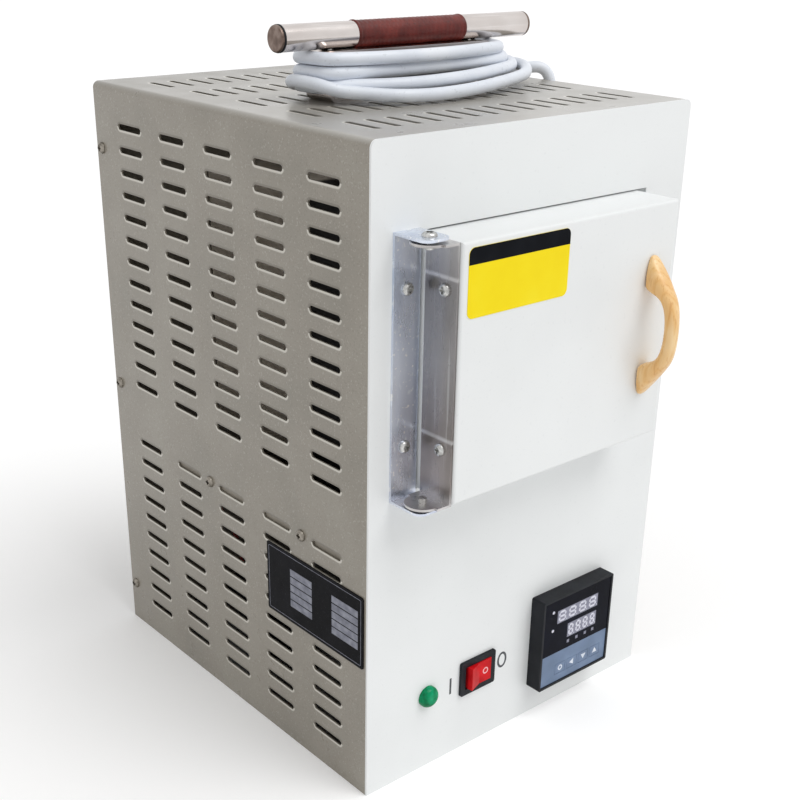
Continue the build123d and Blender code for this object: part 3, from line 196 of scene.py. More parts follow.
# flecks, grain and braid finer than a picture can show are drawn as coarse as they need to be to show
finishes = {
    # polyester powder baked on folded steel: warm grey with a fine salt and pepper fleck, slight orange peel,
    # painted light on the top, lighter towards its front edge, and a painted highlight and shade round each
    # slot
    "flecked baked powder coat": dict(
        colours=["868074", "8D867A", "938D81"], patchMm=55, roughness=(0.26, 0.38), glossMm=25,
        grainMm=2.2, grainHighMm=0.06, grainStrength=0.35,
        specks=[dict(mm=1.1, cover=0.2, strength=0.3, colour="6B6356"),
                dict(mm=1.4, cover=0.12, strength=0.28, colour="C2BDB2")],
        # painted light: the top lighter at its front edge and darker towards the rear
        paintedTopLight=dict(heightMm=419.8, blendMm=3.0, strength=0.75, axis=1, fromMm=-149, toMm=149,
                     tones=[(0.0, "AFADA8"), (0.3, "A09D97"), (0.6, "8B877F"), (1.0, "716D64")]),
        # painted light round the slots: pale is the painted highlight, shade the painted shade
        slotHighlightAndShade=dict(
            pale="DAD6CB", shade="6A6357", strength=0.75, coreMm=1.02, rimMm=1.7, longMm=29.0, wideMm=4.1,
            slotAt=(0, -2.5, 26.4), farMm=1000, touchMm=0.001,
            panels=[dict(normal=(1, 0, 0), across=(0, 0, 1), pitch=(0, 52.8, 15.3),
                         middle=(side * 133.5, -2.5, z), half=(0.2, 122, tall))
                    for side in (-1, 1) for z, tall in ((95, 77), (302, 100))]
            + [dict(normal=(0, 0, 1), across=(1, 0, 0), pitch=(15.2, 52.8, 0),
                    middle=(0, -2.5, 420), half=(114, 122, 0.2))]),
        shader={"IOR": 1.52, "Coat Weight": 0.3, "Coat Roughness": 0.15}),
    # smooth pale powder coat: nearly white, soft sheen, very faint orange peel
    "smooth baked powder coat": dict(
        colours=["E6E8E8", "EBEDED", "EEF0F0"], patchMm=120, roughness=(0.34, 0.42), glossMm=40,
        grainMm=2.6, grainHighMm=0.03, grainStrength=0.25, shader={"IOR": 1.5},
        specks=[dict(mm=2.4, cover=0.04, strength=0.12, colour="C9CCCE")]),
    # electro-galvanised sheet: cool grey with dull cloudy patches and handling marks
    "electro-galvanised sheet": dict(
        colours=["8F9294", "A3A6A7", "B4B6B6"], patchMm=14, roughness=(0.38, 0.55), glossMm=6,
        grainMm=1.6, grainHighMm=0.02, scratchMm=3.0, scratchStrength=0.3, scratchColour="C8CACB",
        shader={"Metallic": 1.0}),
    # bright zinc-plated screw: silvery, small darker stains
    "zinc-plated screw": dict(
        colours=["9C9C9A", "BDBDBB", "D2D2D0"], patchMm=2.5, roughness=(0.2, 0.34), glossMm=1.5,
        grainMm=0.7, grainHighMm=0.02, shader={"Metallic": 1.0}),
    # folded stainless sheet, satin rolled: bluish grey with bright rubs and nicks, its white specks partly
    # painted glints
    "satin rolled stainless sheet": dict(
        colours=["CDD5E6", "DAE1EE", "E9EDF5"], patchMm=22, stretch=(1, 1, 0.25), roughness=(0.22, 0.36),
        glossMm=9, grainMm=1.2, grainHighMm=0.015, scratchMm=2.6, scratchStrength=0.85,
        scratchStretch=(1, 1, 0.45), scratchColour="E8EEF6", shader={"Metallic": 0.85},
        specks=[dict(mm=2.6, cover=0.09, strength=0.9, colour="FFFFFF")],
        # painted reflection: paler and darker bands up the height of the sheet
        paintedLight=dict(axis=2, fromMm=208, toMm=370,
                  tones=[(0.0, "FFFDFC"), (0.22, "EDEBEC"), (0.5, "FFFFFF"), (0.85, "ECEFF5"),
                         (1.0, "FFFFFF")])),
    # the door's leaf: darker and browner, a painted reflection, with a painted highlight on a pressed crease
    # over each screw
    "satin rolled stainless leaf": dict(
        colours=["ABA8A7", "BFBCBB", "D6D3D3"], patchMm=26, stretch=(1, 1, 0.2), roughness=(0.22, 0.34),
        glossMm=9, grainMm=1.2, grainHighMm=0.015, scratchMm=3.4, scratchStrength=0.35,
        scratchColour="D9D9D8", shader={"Metallic": 1.0},
        # painted light: highlight lines over the screws and at the ends, painted reflection between
        paintedLight=dict(axis=2, fromMm=210, toMm=367,
                  tones=[(0.0, "FFFFFF"), (0.03, "FFFFFF"), (0.06, "CEC7C4"), (0.25, "B6B0AD"),
                         (0.258, "F8F8F8"), (0.264, "F8F8F8"), (0.272, "B8B2AF"), (0.55, "CCCBCB"),
                         (0.8, "B8B7B7"), (0.858, "BCBBBB"), (0.864, "FFFFFF"), (0.87, "FFFFFF"),
                         (0.878, "C4C3C3"), (0.985, "D5D5D5"), (1.0, "FFFFFF")])),
    # nickel-alloy probe sheath after firing: brown-grey oxide
    "heat-oxidised probe sheath": dict(
        colours=["3F3A36", "5A524B", "6E655C"], patchMm=9, roughness=(0.4, 0.6), glossMm=4,
        grainMm=0.8, grainHighMm=0.03, shader={"Metallic": 1.0}),
    # iron-chrome-aluminium resistance wire: matt charcoal oxide, a little brown
    "oxidised resistance wire": dict(
        colours=["35302C", "4A423B", "5B5047"], patchMm=18, roughness=(0.5, 0.7), glossMm=3,
        grainMm=0.5, grainHighMm=0.03, shader={"Metallic": 0.7}),
    # vacuum-formed ceramic fibre board: chalky white, felted, faint cream scorch
    "vacuum-formed fibre board": dict(
        colours=["E4DCCB", "EDE7DA", "F2EEE4"], patchMm=30, roughness=(0.85, 0.95), glossMm=10,
        grainMm=1.8, grainHighMm=0.35, grainStrength=0.6, shader={"IOR": 1.45},
        specks=[dict(mm=1.6, cover=0.06, strength=0.4, colour="C9BBA0")]),
    # fired cordierite: buff with darker iron specks
    "fired cordierite": dict(
        colours=["CDBD9F", "DACBAF", "E2D6BE"], patchMm=16, roughness=(0.7, 0.85), glossMm=6,
        grainMm=1.0, grainHighMm=0.12, grainStrength=0.6, shader={"IOR": 1.5},
        specks=[dict(mm=1.2, cover=0.1, strength=0.6, colour="8A7454")]),
    # screen-printed vinyl film: flat saturated yellow with a light gloss
    "printed yellow vinyl film": dict(
        colours=["F6DB0A", "F9E012", "FBE524"], patchMm=30, roughness=(0.28, 0.36), glossMm=8,
        grainMm=1.5, grainHighMm=0.01, shader={"IOR": 1.5, "Specular IOR Level": 0.12}),
    # the same film printed solid black: deep, even and nearly without gloss
    "printed black vinyl film": dict(
        colours=["0B0C11", "0F1116", "15171C"], patchMm=20, roughness=(0.28, 0.36), glossMm=8,
        grainMm=1.5, grainHighMm=0.01, shader={"IOR": 1.5, "Specular IOR Level": 0.04}),
    # bright chrome plate over steel tube: warm tint as a painted reflection, faint stains and fine handling
    # scratches
    "bright chrome plate": dict(
        colours=["B9B1AC", "CCC4C0", "DCD7D4"], patchMm=30, stretch=(0.4, 1, 1), roughness=(0.12, 0.24),
        glossMm=14, grainMm=2.0, grainHighMm=0.01, scratchMm=2.2, scratchStretch=(0.05, 1, 1),
        scratchStrength=0.3, scratchColour="F1EEEC", shader={"Metallic": 1.0}),
    # chrome caps, darker and browner than the tube: dark mirror with a brown cast
    "dark brown chrome cap": dict(
        colours=["584A44", "74645C", "8F8078"], patchMm=6, roughness=(0.25, 0.4), glossMm=3,
        grainMm=0.8, grainHighMm=0.02, shader={"Metallic": 1.0}),
    # zinc that has gone dull under baked paint haze: grey-bronze screw heads
    "dull zinc-plated screw": dict(
        colours=["6F6A62", "8B857C", "A29C92"], patchMm=2.5, roughness=(0.3, 0.45), glossMm=1.5,
        grainMm=0.7, grainHighMm=0.02, shader={"Metallic": 1.0}),
    # sheet that the furnace has heated for years: dull dark grey scale
    "heat-scaled steel sheet": dict(
        colours=["2C2B2B", "383635", "474340"], patchMm=30, roughness=(0.55, 0.75), glossMm=8,
        grainMm=1.4, grainHighMm=0.03, shader={"Metallic": 0.6}),
    # zinc-plated shelf dulled by overspray: the case's own warm grey where its flange shows behind the slots
    "overspray-dulled zinc sheet": dict(
        colours=["7B7468", "857E72", "8F887C"], patchMm=20, roughness=(0.45, 0.6), glossMm=8,
        grainMm=1.6, grainHighMm=0.02, shader={"Metallic": 0.15}),
    # aluminised sheet round the furnace: pale beige behind the slots, with painted shade near the mouth
    "beige aluminised sheet shaded at the mouth": dict(
        colours=["C9BDAC", "D6CABA", "E2D7C8"], patchMm=30, roughness=(0.45, 0.6), glossMm=9,
        grainMm=1.4, grainHighMm=0.02, shader={"Metallic": 0.1},
        # painted shade: near black towards the mouth, where the inside lies in shadow
        paintedLight=dict(axis=1, fromMm=-48, toMm=-42, tones=[(0.0, "1E1B19"), (1.0, "FFFFFF")])),
    # satin aluminium plate, screen-printed all over: deep black with a few paler specks
    "screen-printed black plate": dict(
        colours=["08080B", "0C0C10", "111116"], patchMm=18, roughness=(0.3, 0.45), glossMm=7,
        grainMm=1.2, grainHighMm=0.015, shader={"IOR": 1.5, "Specular IOR Level": 0.05},
        specks=[dict(mm=1.0, cover=0.06, strength=0.25, colour="4A4A52")]),
    # grey ink screened on the plate: flat and chalky
    "screen-printed pale ink": dict(
        colours=["70727E", "828490", "9698A4"], patchMm=5, roughness=(0.45, 0.6), glossMm=3,
        grainMm=0.8, grainHighMm=0.02, shader={"IOR": 1.5, "Specular IOR Level": 0.3}),
    # white ink screened on the keys: clean, matt, faintly blue from the film under it
    "screen-printed white ink": dict(
        colours=["D2D8E4", "DDE2EC", "E8ECF4"], patchMm=5, roughness=(0.45, 0.6), glossMm=3,
        grainMm=0.8, grainHighMm=0.02, shader={"IOR": 1.5, "Specular IOR Level": 0.3}),
    # moulded black ABS with a spark-eroded texture: dark grey, soft highlights
    "spark-textured black ABS": dict(
        colours=["0F1115", "15171C", "1D2026"], patchMm=20, roughness=(0.42, 0.55), glossMm=5,
        grainMm=0.9, grainHighMm=0.05, grainStrength=0.5, shader={"IOR": 1.54, "Specular IOR Level": 0.18}),
    # smoked acrylic window: near black with a blue cast and a wet gloss
    "smoked acrylic": dict(
        colours=["0B0C14", "0F111B", "141726"], patchMm=35, roughness=(0.06, 0.12), glossMm=12,
        grainMm=4.0, grainHighMm=0.004, shader={"IOR": 1.49, "Specular IOR Level": 0.05}),
    # printed polyester keypad: slate blue, fine matt texture
    "printed polyester keypad": dict(
        colours=["61748E", "6A7D9A", "7488A5"], patchMm=16, roughness=(0.4, 0.5), glossMm=4,
        grainMm=0.8, grainHighMm=0.02, shader={"IOR": 1.58, "Specular IOR Level": 0.3}),
    # moulded polycarbonate rocker: clear bright red, glossy
    "glossy red polycarbonate": dict(
        colours=["B80F16", "CC151C", "DC2026"], patchMm=9, roughness=(0.28, 0.36), glossMm=5,
        grainMm=2.0, grainHighMm=0.01, shader={"IOR": 1.58, "Specular IOR Level": 0.07}),
    # drawn brass strip: yellow with dull tarnish
    "drawn brass": dict(
        colours=["A98C4C", "C2A35C", "D5BA78"], patchMm=6, roughness=(0.22, 0.38), glossMm=3,
        grainMm=0.8, grainHighMm=0.015, shader={"Metallic": 1.0}),
    # moulded green acrylic lens: deep green with light caught inside
    "moulded green acrylic": dict(
        colours=["00683F", "008A5A", "0A9E6C"], patchMm=5, roughness=(0.1, 0.18), glossMm=3,
        grainMm=1.6, grainHighMm=0.02,
        shader={"IOR": 1.49, "Specular IOR Level": 0.15, "Subsurface Weight": 0.1,
                "Subsurface Radius": (0.001, 0.003, 0.002)}),
    # extruded aluminium, mill finish: pale grey drawn along the fins
    "extruded aluminium": dict(
        colours=["A7A9AC", "BBBDC0", "CACCCE"], patchMm=9, stretch=(1, 0.1, 1), roughness=(0.3, 0.45),
        glossMm=4, grainMm=0.8, grainHighMm=0.02, shader={"Metallic": 1.0}),
    # silicone-impregnated glass sleeve on the leads: dull brick red with a fine braid
    "varnished glass sleeving": dict(
        colours=["8E2A22", "A03329", "AE4236"], patchMm=8, roughness=(0.45, 0.6), glossMm=3,
        grainMm=0.7, grainHighMm=0.08, grainStrength=0.6, shader={"IOR": 1.45}),
    # extruded soft PVC sheath: cool pale grey, satin, very slightly wavy, faint grime
    "extruded pale PVC": dict(
        colours=["DADFE8", "E2E7EF", "EAEEF4"], patchMm=35, roughness=(0.36, 0.48), glossMm=14,
        grainMm=3.0, grainHighMm=0.04, grainStrength=0.3,
        specks=[dict(mm=2.2, cover=0.05, strength=0.18, colour="8E8F93")],
        shader={"IOR": 1.53, "Subsurface Weight": 0.05, "Subsurface Radius": (0.002, 0.002, 0.002)}),
    # calendered vinyl over the tube: dark oxblood leather grain with a low sheen
    "grained oxblood vinyl": dict(
        colours=["4E1813", "611F19", "742A22"], patchMm=12, roughness=(0.38, 0.52), glossMm=3,
        grainMm=1.3, grainHighMm=0.22, grainStrength=0.8,
        specks=[dict(mm=1.0, cover=0.16, strength=0.5, colour="2C0E0B")],
        shader={"IOR": 1.52, "Specular IOR Level": 0.3}),
    # pad-printed ink on the panel: soft dark grey, quite matt
    "dark grey pad-print ink": dict(
        colours=["3C3E42", "46484C", "505256"], patchMm=3, roughness=(0.5, 0.6), glossMm=2,
        grainMm=0.6, grainHighMm=0.01, shader={"IOR": 1.5}),
    # white ink that the red plastic under it tints pink
    "pink pad-print ink": dict(
        colours=["F0A9AC", "F4B9BB", "F7C8C9"], patchMm=3, roughness=(0.4, 0.5), glossMm=2,
        grainMm=0.6, grainHighMm=0.01, shader={"IOR": 1.5}),
    # moulded epoxy display segments, unlit: milky grey
    "unlit epoxy segment": dict(
        colours=["C8C8D6", "D4D4E0", "DEDEE8"], patchMm=3, roughness=(0.35, 0.45), glossMm=2,
        grainMm=0.5, grainHighMm=0.01, shader={"IOR": 1.5}),
    # diffusing epoxy round the unlit segments: the same milk, darker
    "unlit display backing": dict(
        colours=["767789", "838496", "9091A2"], patchMm=6, roughness=(0.3, 0.4), glossMm=2,
        grainMm=0.5, grainHighMm=0.01, shader={"IOR": 1.5}),
}
materials = {name: layeredFinish(name, look) for name, look in finishes.items()}


metreBands = 0.35  # diagonal bands of this scale lie about a metre apart


def varnishedBeech(look):
    # turned and bent beech under clear varnish: growth rings run up the pull, short dark flecks between them
    material, tree, shader = newMaterial("varnished beech", look["shader"])
    place = addNode(tree, "TexCoord").outputs["Object"]
    along = addNode(tree, "Mapping", {"Scale": (1, 1, look["alongGrain"])}, {"Vector": place}).outputs[0]
    rings = addNode(tree, "TexWave", {"Scale": metreBands / (look["ringMm"] * mm), "Detail": 3.0,
                                      "Distortion": look["ringWander"], "Detail Scale": 1.6},
                    {"Vector": along}, bands_direction="DIAGONAL", wave_profile="SAW")
    colour = addNode(tree, "ValToRGB", links={0: rings.outputs[0]},
                     stops=look["rings"]).outputs[0]
    drawn = addNode(tree, "Mapping", {"Scale": (1, 1, look["alongFleck"])}, {"Vector": place}).outputs[0]
    flecks = addNode(tree, "TexNoise", {"Scale": 1 / (look["fleckMm"] * mm), "Detail": 3.0},
                     {"Vector": drawn})
    mask = addNode(tree, "ValToRGB", links={0: flecks.outputs[0]},
                   stops=look["fleckStops"])
    colour = addNode(tree, "Mix", {7: hexToLinear(look["fleck"])}, {0: mask.outputs[0], 6: colour},
                     data_type="RGBA").outputs[2]
    cloud = addNode(tree, "TexNoise", {"Scale": 1 / (look["cloudMm"] * mm)}, {"Vector": place})
    shade = addNode(tree, "ValToRGB", links={0: cloud.outputs[0]},
                    stops=look["clouds"])
    colour = addNode(tree, "Mix", {0: 1.0}, {6: colour, 7: shade.outputs[0]}, data_type="RGBA",
                     blend_type="MULTIPLY").outputs[2]
    tree.links.new(colour, shader.inputs["Base Color"])
    bump = addNode(tree, "Bump", {"Strength": look["grainStrength"], "Distance": look["grainHighMm"] * mm},
                   {"Height": flecks.outputs[0]})
    tree.links.new(bump.outputs[0], shader.inputs["Normal"])
    return material


materials["varnished beech"] = varnishedBeech(dict(
    ringMm=3.2, ringWander=5.0, alongGrain=0.1,
    rings=[(0.0, "F7D59C"), (0.55, "F9DCAA"), (0.9, "F1CA8A"), (1.0, "F7D59C")],
    fleckMm=1.4, alongFleck=0.12, fleck="D9A560", fleckStops=[(0.56, 0), (0.68, 0.5)],
    cloudMm=30, clouds=[(0.35, "F1DCBE"), (0.65, "FFFFFF")], grainStrength=0.3, grainHighMm=0.05,
    shader={"Roughness": 0.38, "IOR": 1.5, "Coat Weight": 0.3, "Coat Roughness": 0.15}))

nodeFinish = {
    "flecked baked powder coat": ["outer_shell", "back_panel"],
    "smooth baked powder coat": ["front_panel", "door_skin"],
    "electro-galvanised sheet": ["base_plate", "mouth_frame", "door_inner_frame"],
    "overspray-dulled zinc sheet": ["partition_shelf"],
    "heat-scaled steel sheet": ["furnace_rails"],
    "beige aluminised sheet shaded at the mouth": ["furnace_casing"],
    "dull zinc-plated screw": ["case_screws"],
    "zinc-plated screw": ["hinge_pivots", "hinge_panel_screws", "hinge_door_screws", "door_pull_screws",
                          "handle_screws"],
    "satin rolled stainless sheet": ["hinge_panel_leaf"],
    "satin rolled stainless leaf": ["hinge_door_leaf"],
    "heat-oxidised probe sheath": ["thermocouple"],
    "vacuum-formed fibre board": ["insulation_left", "insulation_right", "insulation_top",
                                  "insulation_bottom", "insulation_rear", "door_insulation"],
    "fired cordierite": ["hearth_plate", "element_beads"],
    "printed yellow vinyl film": ["door_label"],
    "bright chrome plate": ["handle_bar", "handle_tube"],
    "dark brown chrome cap": ["handle_caps"],
    "screen-printed black plate": ["rating_plate"],
    "spark-textured black ABS": ["controller_bezel", "controller_housing", "controller_clamps",
                                 "switch_frame", "lamp_body", "solid_state_relay", "terminal_block",
                                 "cord_gland"],
    "smoked acrylic": ["controller_window"],
    "printed polyester keypad": ["controller_keypad", "key_set", "key_shift", "key_down", "key_up"],
    "glossy red polycarbonate": ["switch_rocker"],
    "drawn brass": ["switch_tabs", "plug_pins"],
    "moulded green acrylic": ["lamp_lens"],
    "extruded aluminium": ["relay_heat_sink"],
    "varnished glass sleeving": ["internal_wiring"],
    "extruded pale PVC": ["power_plug"],
}
for finishName, names in nodeFinish.items():
    for nodeName in names:
        slots = nodes[nodeName].data.materials
        slots.clear()
        slots.append(materials[finishName])
print("finishes made:", len(materials))


# helpers for the pieces

def linkPiece(name, data):
    piece = bpy.data.objects.new(name, data)
    bpy.context.scene.collection.objects.link(piece)
    return piece


def dressPiece(piece, finishName, body, slotName, *replaced):
    piece.data.materials.append(materials[finishName])
    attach(piece, body)
    if replaced:
        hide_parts(*replaced)
    return piece


def ringPiece(name, runs, closed=True, subdivide=0):
    # a skin over each run of rings, closed with a face at each end or joined end to end
    mesh = bpy.data.meshes.new(name)
    shape = bmesh.new()
    for rings in runs:
        loops = [[shape.verts.new(point) for point in ring] for ring in rings]
        pairs = list(zip(loops, loops[1:])) + ([] if closed else [(loops[-1], loops[0])])
        for here, there in pairs:
            for i in range(len(here)):
                j = (i + 1) % len(here)
                shape.faces.new((here[i], here[j], there[j], there[i]))
        if closed:
            shape.faces.new(loops[0])
            shape.faces.new(loops[-1])
    bmesh.ops.recalc_face_normals(shape, faces=shape.faces)
    for face in shape.faces:
        face.smooth = len(face.verts) == 4
    shape.to_mesh(mesh)
    shape.free()
    piece = linkPiece(name, mesh)
    if subdivide:
        smooth = piece.modifiers.new("round", "SUBSURF")
        smooth.levels = smooth.render_levels = subdivide
    return piece


def easedCurve(name, points, resolution):
    # a curve that eases past points in mm, from the first to the last
    curve = bpy.data.curves.new(name, "CURVE")
    curve.dimensions = "3D"
    spline = curve.splines.new("NURBS")
    spline.points.add(len(points) - 1)
    for point, place in zip(spline.points, points):
        point.co = (*(c * mm for c in place), 1)
    spline.order_u = 3
    spline.use_endpoint_u = True
    spline.resolution_u = resolution
    return curve


def linePoints(path):
    # the points of a curve's own spline, read back from Blender
    mesh = bpy.data.meshes.new_from_object(path)
    points = [vertex.co.copy() for vertex in mesh.vertices]
    bpy.data.meshes.remove(mesh)
    return points


def ringsAlong(points, radii, sides):
    # one ring of each radius round a line, turning with it without twist
    rings = []
    side = None
    for i, point in enumerate(points):
        ahead = (points[min(i + 1, len(points) - 1)] - points[max(i - 1, 0)]).normalized()
        side = ahead.orthogonal() if side is None else side - ahead * side.dot(ahead)
        side.normalize()
        up = ahead.cross(side)
        turn = [2 * math.pi * k / sides for k in range(sides)]
        rings.append([point + radii[i] * (side * math.cos(a) + up * math.sin(a)) for a in turn])
    return rings


inkMm = 0.05
inkLift = 0.4  # of its thickness, which sinks a tenth of it in its face
cornerSteps = 6


def printedShapes(name, outlines, across, up, corner):
    # ink on a face: outlines in mm across and up from a corner, and one inside another cuts it
    curve = bpy.data.curves.new(name, "CURVE")
    curve.dimensions = "2D"
    curve.fill_mode = "BOTH"
    curve.extrude = inkMm * mm / 2
    for outline in outlines:
        spline = curve.splines.new("POLY")
        spline.points.add(len(outline) - 1)
        for point, (u, v) in zip(spline.points, outline):
            point.co = (u * mm, v * mm, 0, 1)
        spline.use_cyclic_u = True
    piece = linkPiece(name, curve)
    across, up = Vector(across), Vector(up)
    out = across.cross(up)
    turn = Matrix((across, up, out)).transposed().to_4x4()
    piece.matrix_world = Matrix.Translation(Vector(corner) * mm + out * inkMm * mm * inkLift) @ turn
    return piece


def roundedOutline(left, low, right, high, radii):
    # radii at the low left, low right, high right and high left corners
    corners = [(left, low, 1, 1, 180), (right, low, -1, 1, 270), (right, high, -1, -1, 0),
               (left, high, 1, -1, 90)]
    outline = []
    for (u, v, du, dv, start), r in zip(corners, radii):
        steps = cornerSteps if r else 0
        for k in range(steps + 1):
            a = math.radians(start + (90 * k / steps if steps else 45))
            outline.append((u + du * r + r * math.cos(a), v + dv * r + r * math.sin(a)))
    return outline


def bar(left, low, right, high):
    return [(left, low), (right, low), (right, high), (left, high)]


def oval(u, v, wide, high, count=32):
    # wide and high are its half sizes
    turn = [2 * math.pi * k / count for k in range(count)]
    return [(u + wide * math.cos(a), v + high * math.sin(a)) for a in turn]


# power cord, with its strain relief

cordLook = dict(
    diameter=8.0, exit=(100, 169, 62), length=2.36, resolution=8,
    lead=[(100, 169, 62), (100, 190, 62), (100.2, 207, 73.5), (100.5, 215, 93), (100.6, 216.5, 118),
          (100.5, 213, 156), (100, 205, 206), (99, 194, 258), (98, 183, 308), (97, 173.4, 350),
          (96.2, 166.4, 381), (95.7, 162.2, 405), (95.2, 152.5, 426.2), (94.8, 132, 425.2),
          (94.2, 108, 424.3), (93, 84, 424.9), (91, 63, 430.5), (89.3, 46, 440.5), (87.4, 30, 449.0),
          (83.2, 14.5, 450.2), (79.4, -3.0, 446.4)],
    # from the top of the pile down: right and left give x and then the y of each end, as the cord runs, and
    # front and rear give their middle
    turns=[
        dict(right=(76.5, -1.0, -37.5), front=(-4, -47.0), left=(-73.4, -37.6, 1.6), rear=(6, 3.4),
             heights=(445.8, 446.2, 446.0, 443.2, 437.0, 439.6), bends=(15.0, 12.0)),
        dict(right=(83.2, 2.0, -37.0), front=(-4, -42.6), left=(-73.4, -37.8, 1.8), rear=(8, 9.5),
             heights=(439.6, 438.0, 437.6, 435.4, 430.0, 436.0), bends=(18.5, 12.0)),
        dict(right=(89.7, 5.0, -42.0), front=(-8, -58.0), left=(-73.4, -38.6, 2.2), rear=(10, 18.5),
             heights=(436.0, 431.6, 429.0, 427.6, 428.4, 434.4), bends=(22.0, 12.5)),
        dict(right=(98.0, 12.0, -51.0), front=(-14, -68.5), left=(-80.4, -44.5, 5.0), rear=(4, 25.5),
             heights=(434.4, 424.15, 433.6, 424.2, 424.2, 424.2), bends=(27.0, 19.0))],
    heightStops=(-0.5, 3.5, 7.5, 11.3, 13.0, 15.5),
    # where the points of a turn lie: round each bend, and either side of the middle of the front and the rear
    bendDeg=(15, 45, 75), frontSides=(28, -22), frontSlack=0.5, rearSides=(-26, 22),
    tail=[(64, 23, 424.2), (88, 13, 424.2), (107, 2, 425.4), (122, -9.5, 427), (133, -17.3, 428.4),
          (138.4, -21.6, 420.5), (138.4, -22.3, 405), (139, -22.6, 382), (140.5, -23, 350),
          (143, -23.4, 316), (144.6, -23.6, 286), (144.6, -23.6, 262)])


def between(k, stops, values):
    # the value at k, in straight lines from stop to stop
    for s0, s1, v0, v1 in zip(stops, stops[1:], values, values[1:]):
        if k <= s1:
            return v0 + (v1 - v0) * (k - s0) / (s1 - s0)
    return values[-1]


def coilPoints(look):
    points = []
    spread = 1 / math.cos(math.radians(look["bendDeg"][0]))
    for turn, after in zip(look["turns"], look["turns"][1:] + [None]):
        rightX, rightFront = turn["right"][0], turn["right"][2]
        leftX, leftFront, leftRear = turn["left"]
        frontX, frontY = turn["front"]
        rearX, rearY = turn["rear"]
        rightBend, leftBend = turn["bends"]
        ends = [(rightX - rightBend, rightFront + rightBend, rightBend, 0),
                (leftX + leftBend, leftFront + leftBend, leftBend, -90),
                (leftX + leftBend, leftRear - leftBend, leftBend, -180)]
        if after:  # the fourth bend leads into the next turn's right side
            bend = after["bends"][0]
            ends.append((after["right"][0] - bend, after["right"][1] - bend, bend, 90))
        fans = [[(x + spread * r * math.cos(a), y + spread * r * math.sin(a))
                 for a in (math.radians(start - s) for s in look["bendDeg"])] for x, y, r, start in ends]
        front = [(frontX + look["frontSides"][0], frontY + look["frontSlack"]),
                 (frontX + look["frontSides"][1], frontY)]
        rear = [(rearX + side, rearY) for side in look["rearSides"]]
        plan = fans[0] + front + fans[1] + fans[2] + rear + (fans[3] if after else [])
        points += [(x, y, between(k, look["heightStops"], turn["heights"])) for k, (x, y) in enumerate(plan)]
    return points


def layCord(look):
    curve = easedCurve("powerCord", look["lead"] + coilPoints(look) + look["tail"], look["resolution"])
    cord = linkPiece("powerCord", curve)
    line = linePoints(cord)
    curve.bevel_depth = look["diameter"] * mm / 2
    curve.bevel_resolution = 6
    curve.use_fill_caps = True
    dressPiece(cord, "extruded pale PVC", "kiln", "cord_pvc", "power_cord_lead", "power_cord_coil",
               "power_cord_tail")
    return line


cordLine = layCord(cordLook)
print("cord laid:", len(cordLine), "points on its line")

reliefLook = dict(lengthMm=34, baseMm=6.6, tipMm=4.7, ribs=7, ribSteps=4, ribDeepMm=0.7, sides=28)


def mouldRelief(look, line):
    # tapered boot that follows the start of the cord, with shallow moulded ribs
    steps = look["ribs"] * look["ribSteps"] + 1
    reach = [0.0]
    for here, there in zip(line, line[1:]):
        reach.append(reach[-1] + (there - here).length)
    points, radii = [], []
    for k in range(steps):
        along = look["lengthMm"] * mm * k / (steps - 1)
        i = next(n for n, r in enumerate(reach) if r > along)
        share = (along - reach[i - 1]) / (reach[i] - reach[i - 1])
        points.append(line[i - 1].lerp(line[i], share))
        taper = look["baseMm"] + (look["tipMm"] - look["baseMm"]) * k / (steps - 1)
        groove = look["ribDeepMm"] if k % look["ribSteps"] == look["ribSteps"] // 2 and k < steps - 3 else 0
        radii.append((taper - groove) * mm)
    relief = ringPiece("cordRelief", [ringsAlong(points, radii, look["sides"])])
    return dressPiece(relief, "spark-textured black ABS", "kiln", "control_black")


mouldRelief(reliefLook, cordLine)


# wooden door pull

pullLook = dict(
    centre=(67.0, -182.0, 289.5), sides=12, roundness=0.85, footRoundness=0.35,
    # height from the middle, how far the outer and inner sides stand off the door, and half the width
    stations=[(0, 24.5, 15.6, 4.6), (9, 24.0, 15.1, 4.8), (16, 22.6, 13.4, 5.3), (20.5, 20.9, 10.2, 5.9),
              (23, 19.6, 4.6, 6.5), (25, 18.3, 0.0, 6.9), (29, 15.5, 0.0, 7.2), (34, 11.6, 0.0, 6.9),
              (39, 7.6, 0.0, 5.8), (43, 4.4, 0.0, 4.2), (45.9, 1.8, 0.0, 2.2)])


def carvePull(look):
    # rounded sections stacked up the pull, squarer where its feet meet the door
    x, y, z = look["centre"]
    upper = look["stations"]
    lower = [(-h, *rest) for h, *rest in upper[:0:-1]]
    rings = []
    for high, outer, inner, half in lower + upper:
        mid, deep = (outer + inner) / 2, (outer - inner) / 2
        ring = []
        for k in range(look["sides"]):
            a = 2 * math.pi * k / look["sides"]
            c, s = math.cos(a), math.sin(a)
            power = look["footRoundness"] if inner == 0 and s < 0 else look["roundness"]
            across = half * math.copysign(abs(c) ** power, c)
            off = mid + deep * math.copysign(abs(s) ** power, s)
            ring.append(((x + across) * mm, (y - off) * mm, (z + high) * mm))
        rings.append(ring)
    pull = ringPiece("woodenPull", [rings], subdivide=2)
    return dressPiece(pull, "varnished beech", "door", "pull_wood", "door_pull")


carvePull(pullLook)
print("pull carved")


# vinyl grip on the carrying handle, and the ring behind its left cap

gripLook = dict(axis=(-18.0, 458.0), left=-41.3, right=49.7, radius=8.15, bore=7.35, roll=0.45, rollMm=2.4,
                rippleMm=3.6, ripple=0.07, steps=132, sides=48)
capRingLook = dict(axis=(-18.0, 458.0), left=-98.0, right=-96.7, radius=8.25, bore=7.9, sides=48)


def lathe(name, profile, axis, sides):
    # profile gives (x, radius) round the closed section of a tube along X
    y, z = axis
    turn = [2 * math.pi * k / sides for k in range(sides)]
    rings = [[(x * mm, (y + radius * math.cos(a)) * mm, (z + radius * math.sin(a)) * mm) for a in turn]
             for x, radius in profile]
    return ringPiece(name, [rings], closed=False)


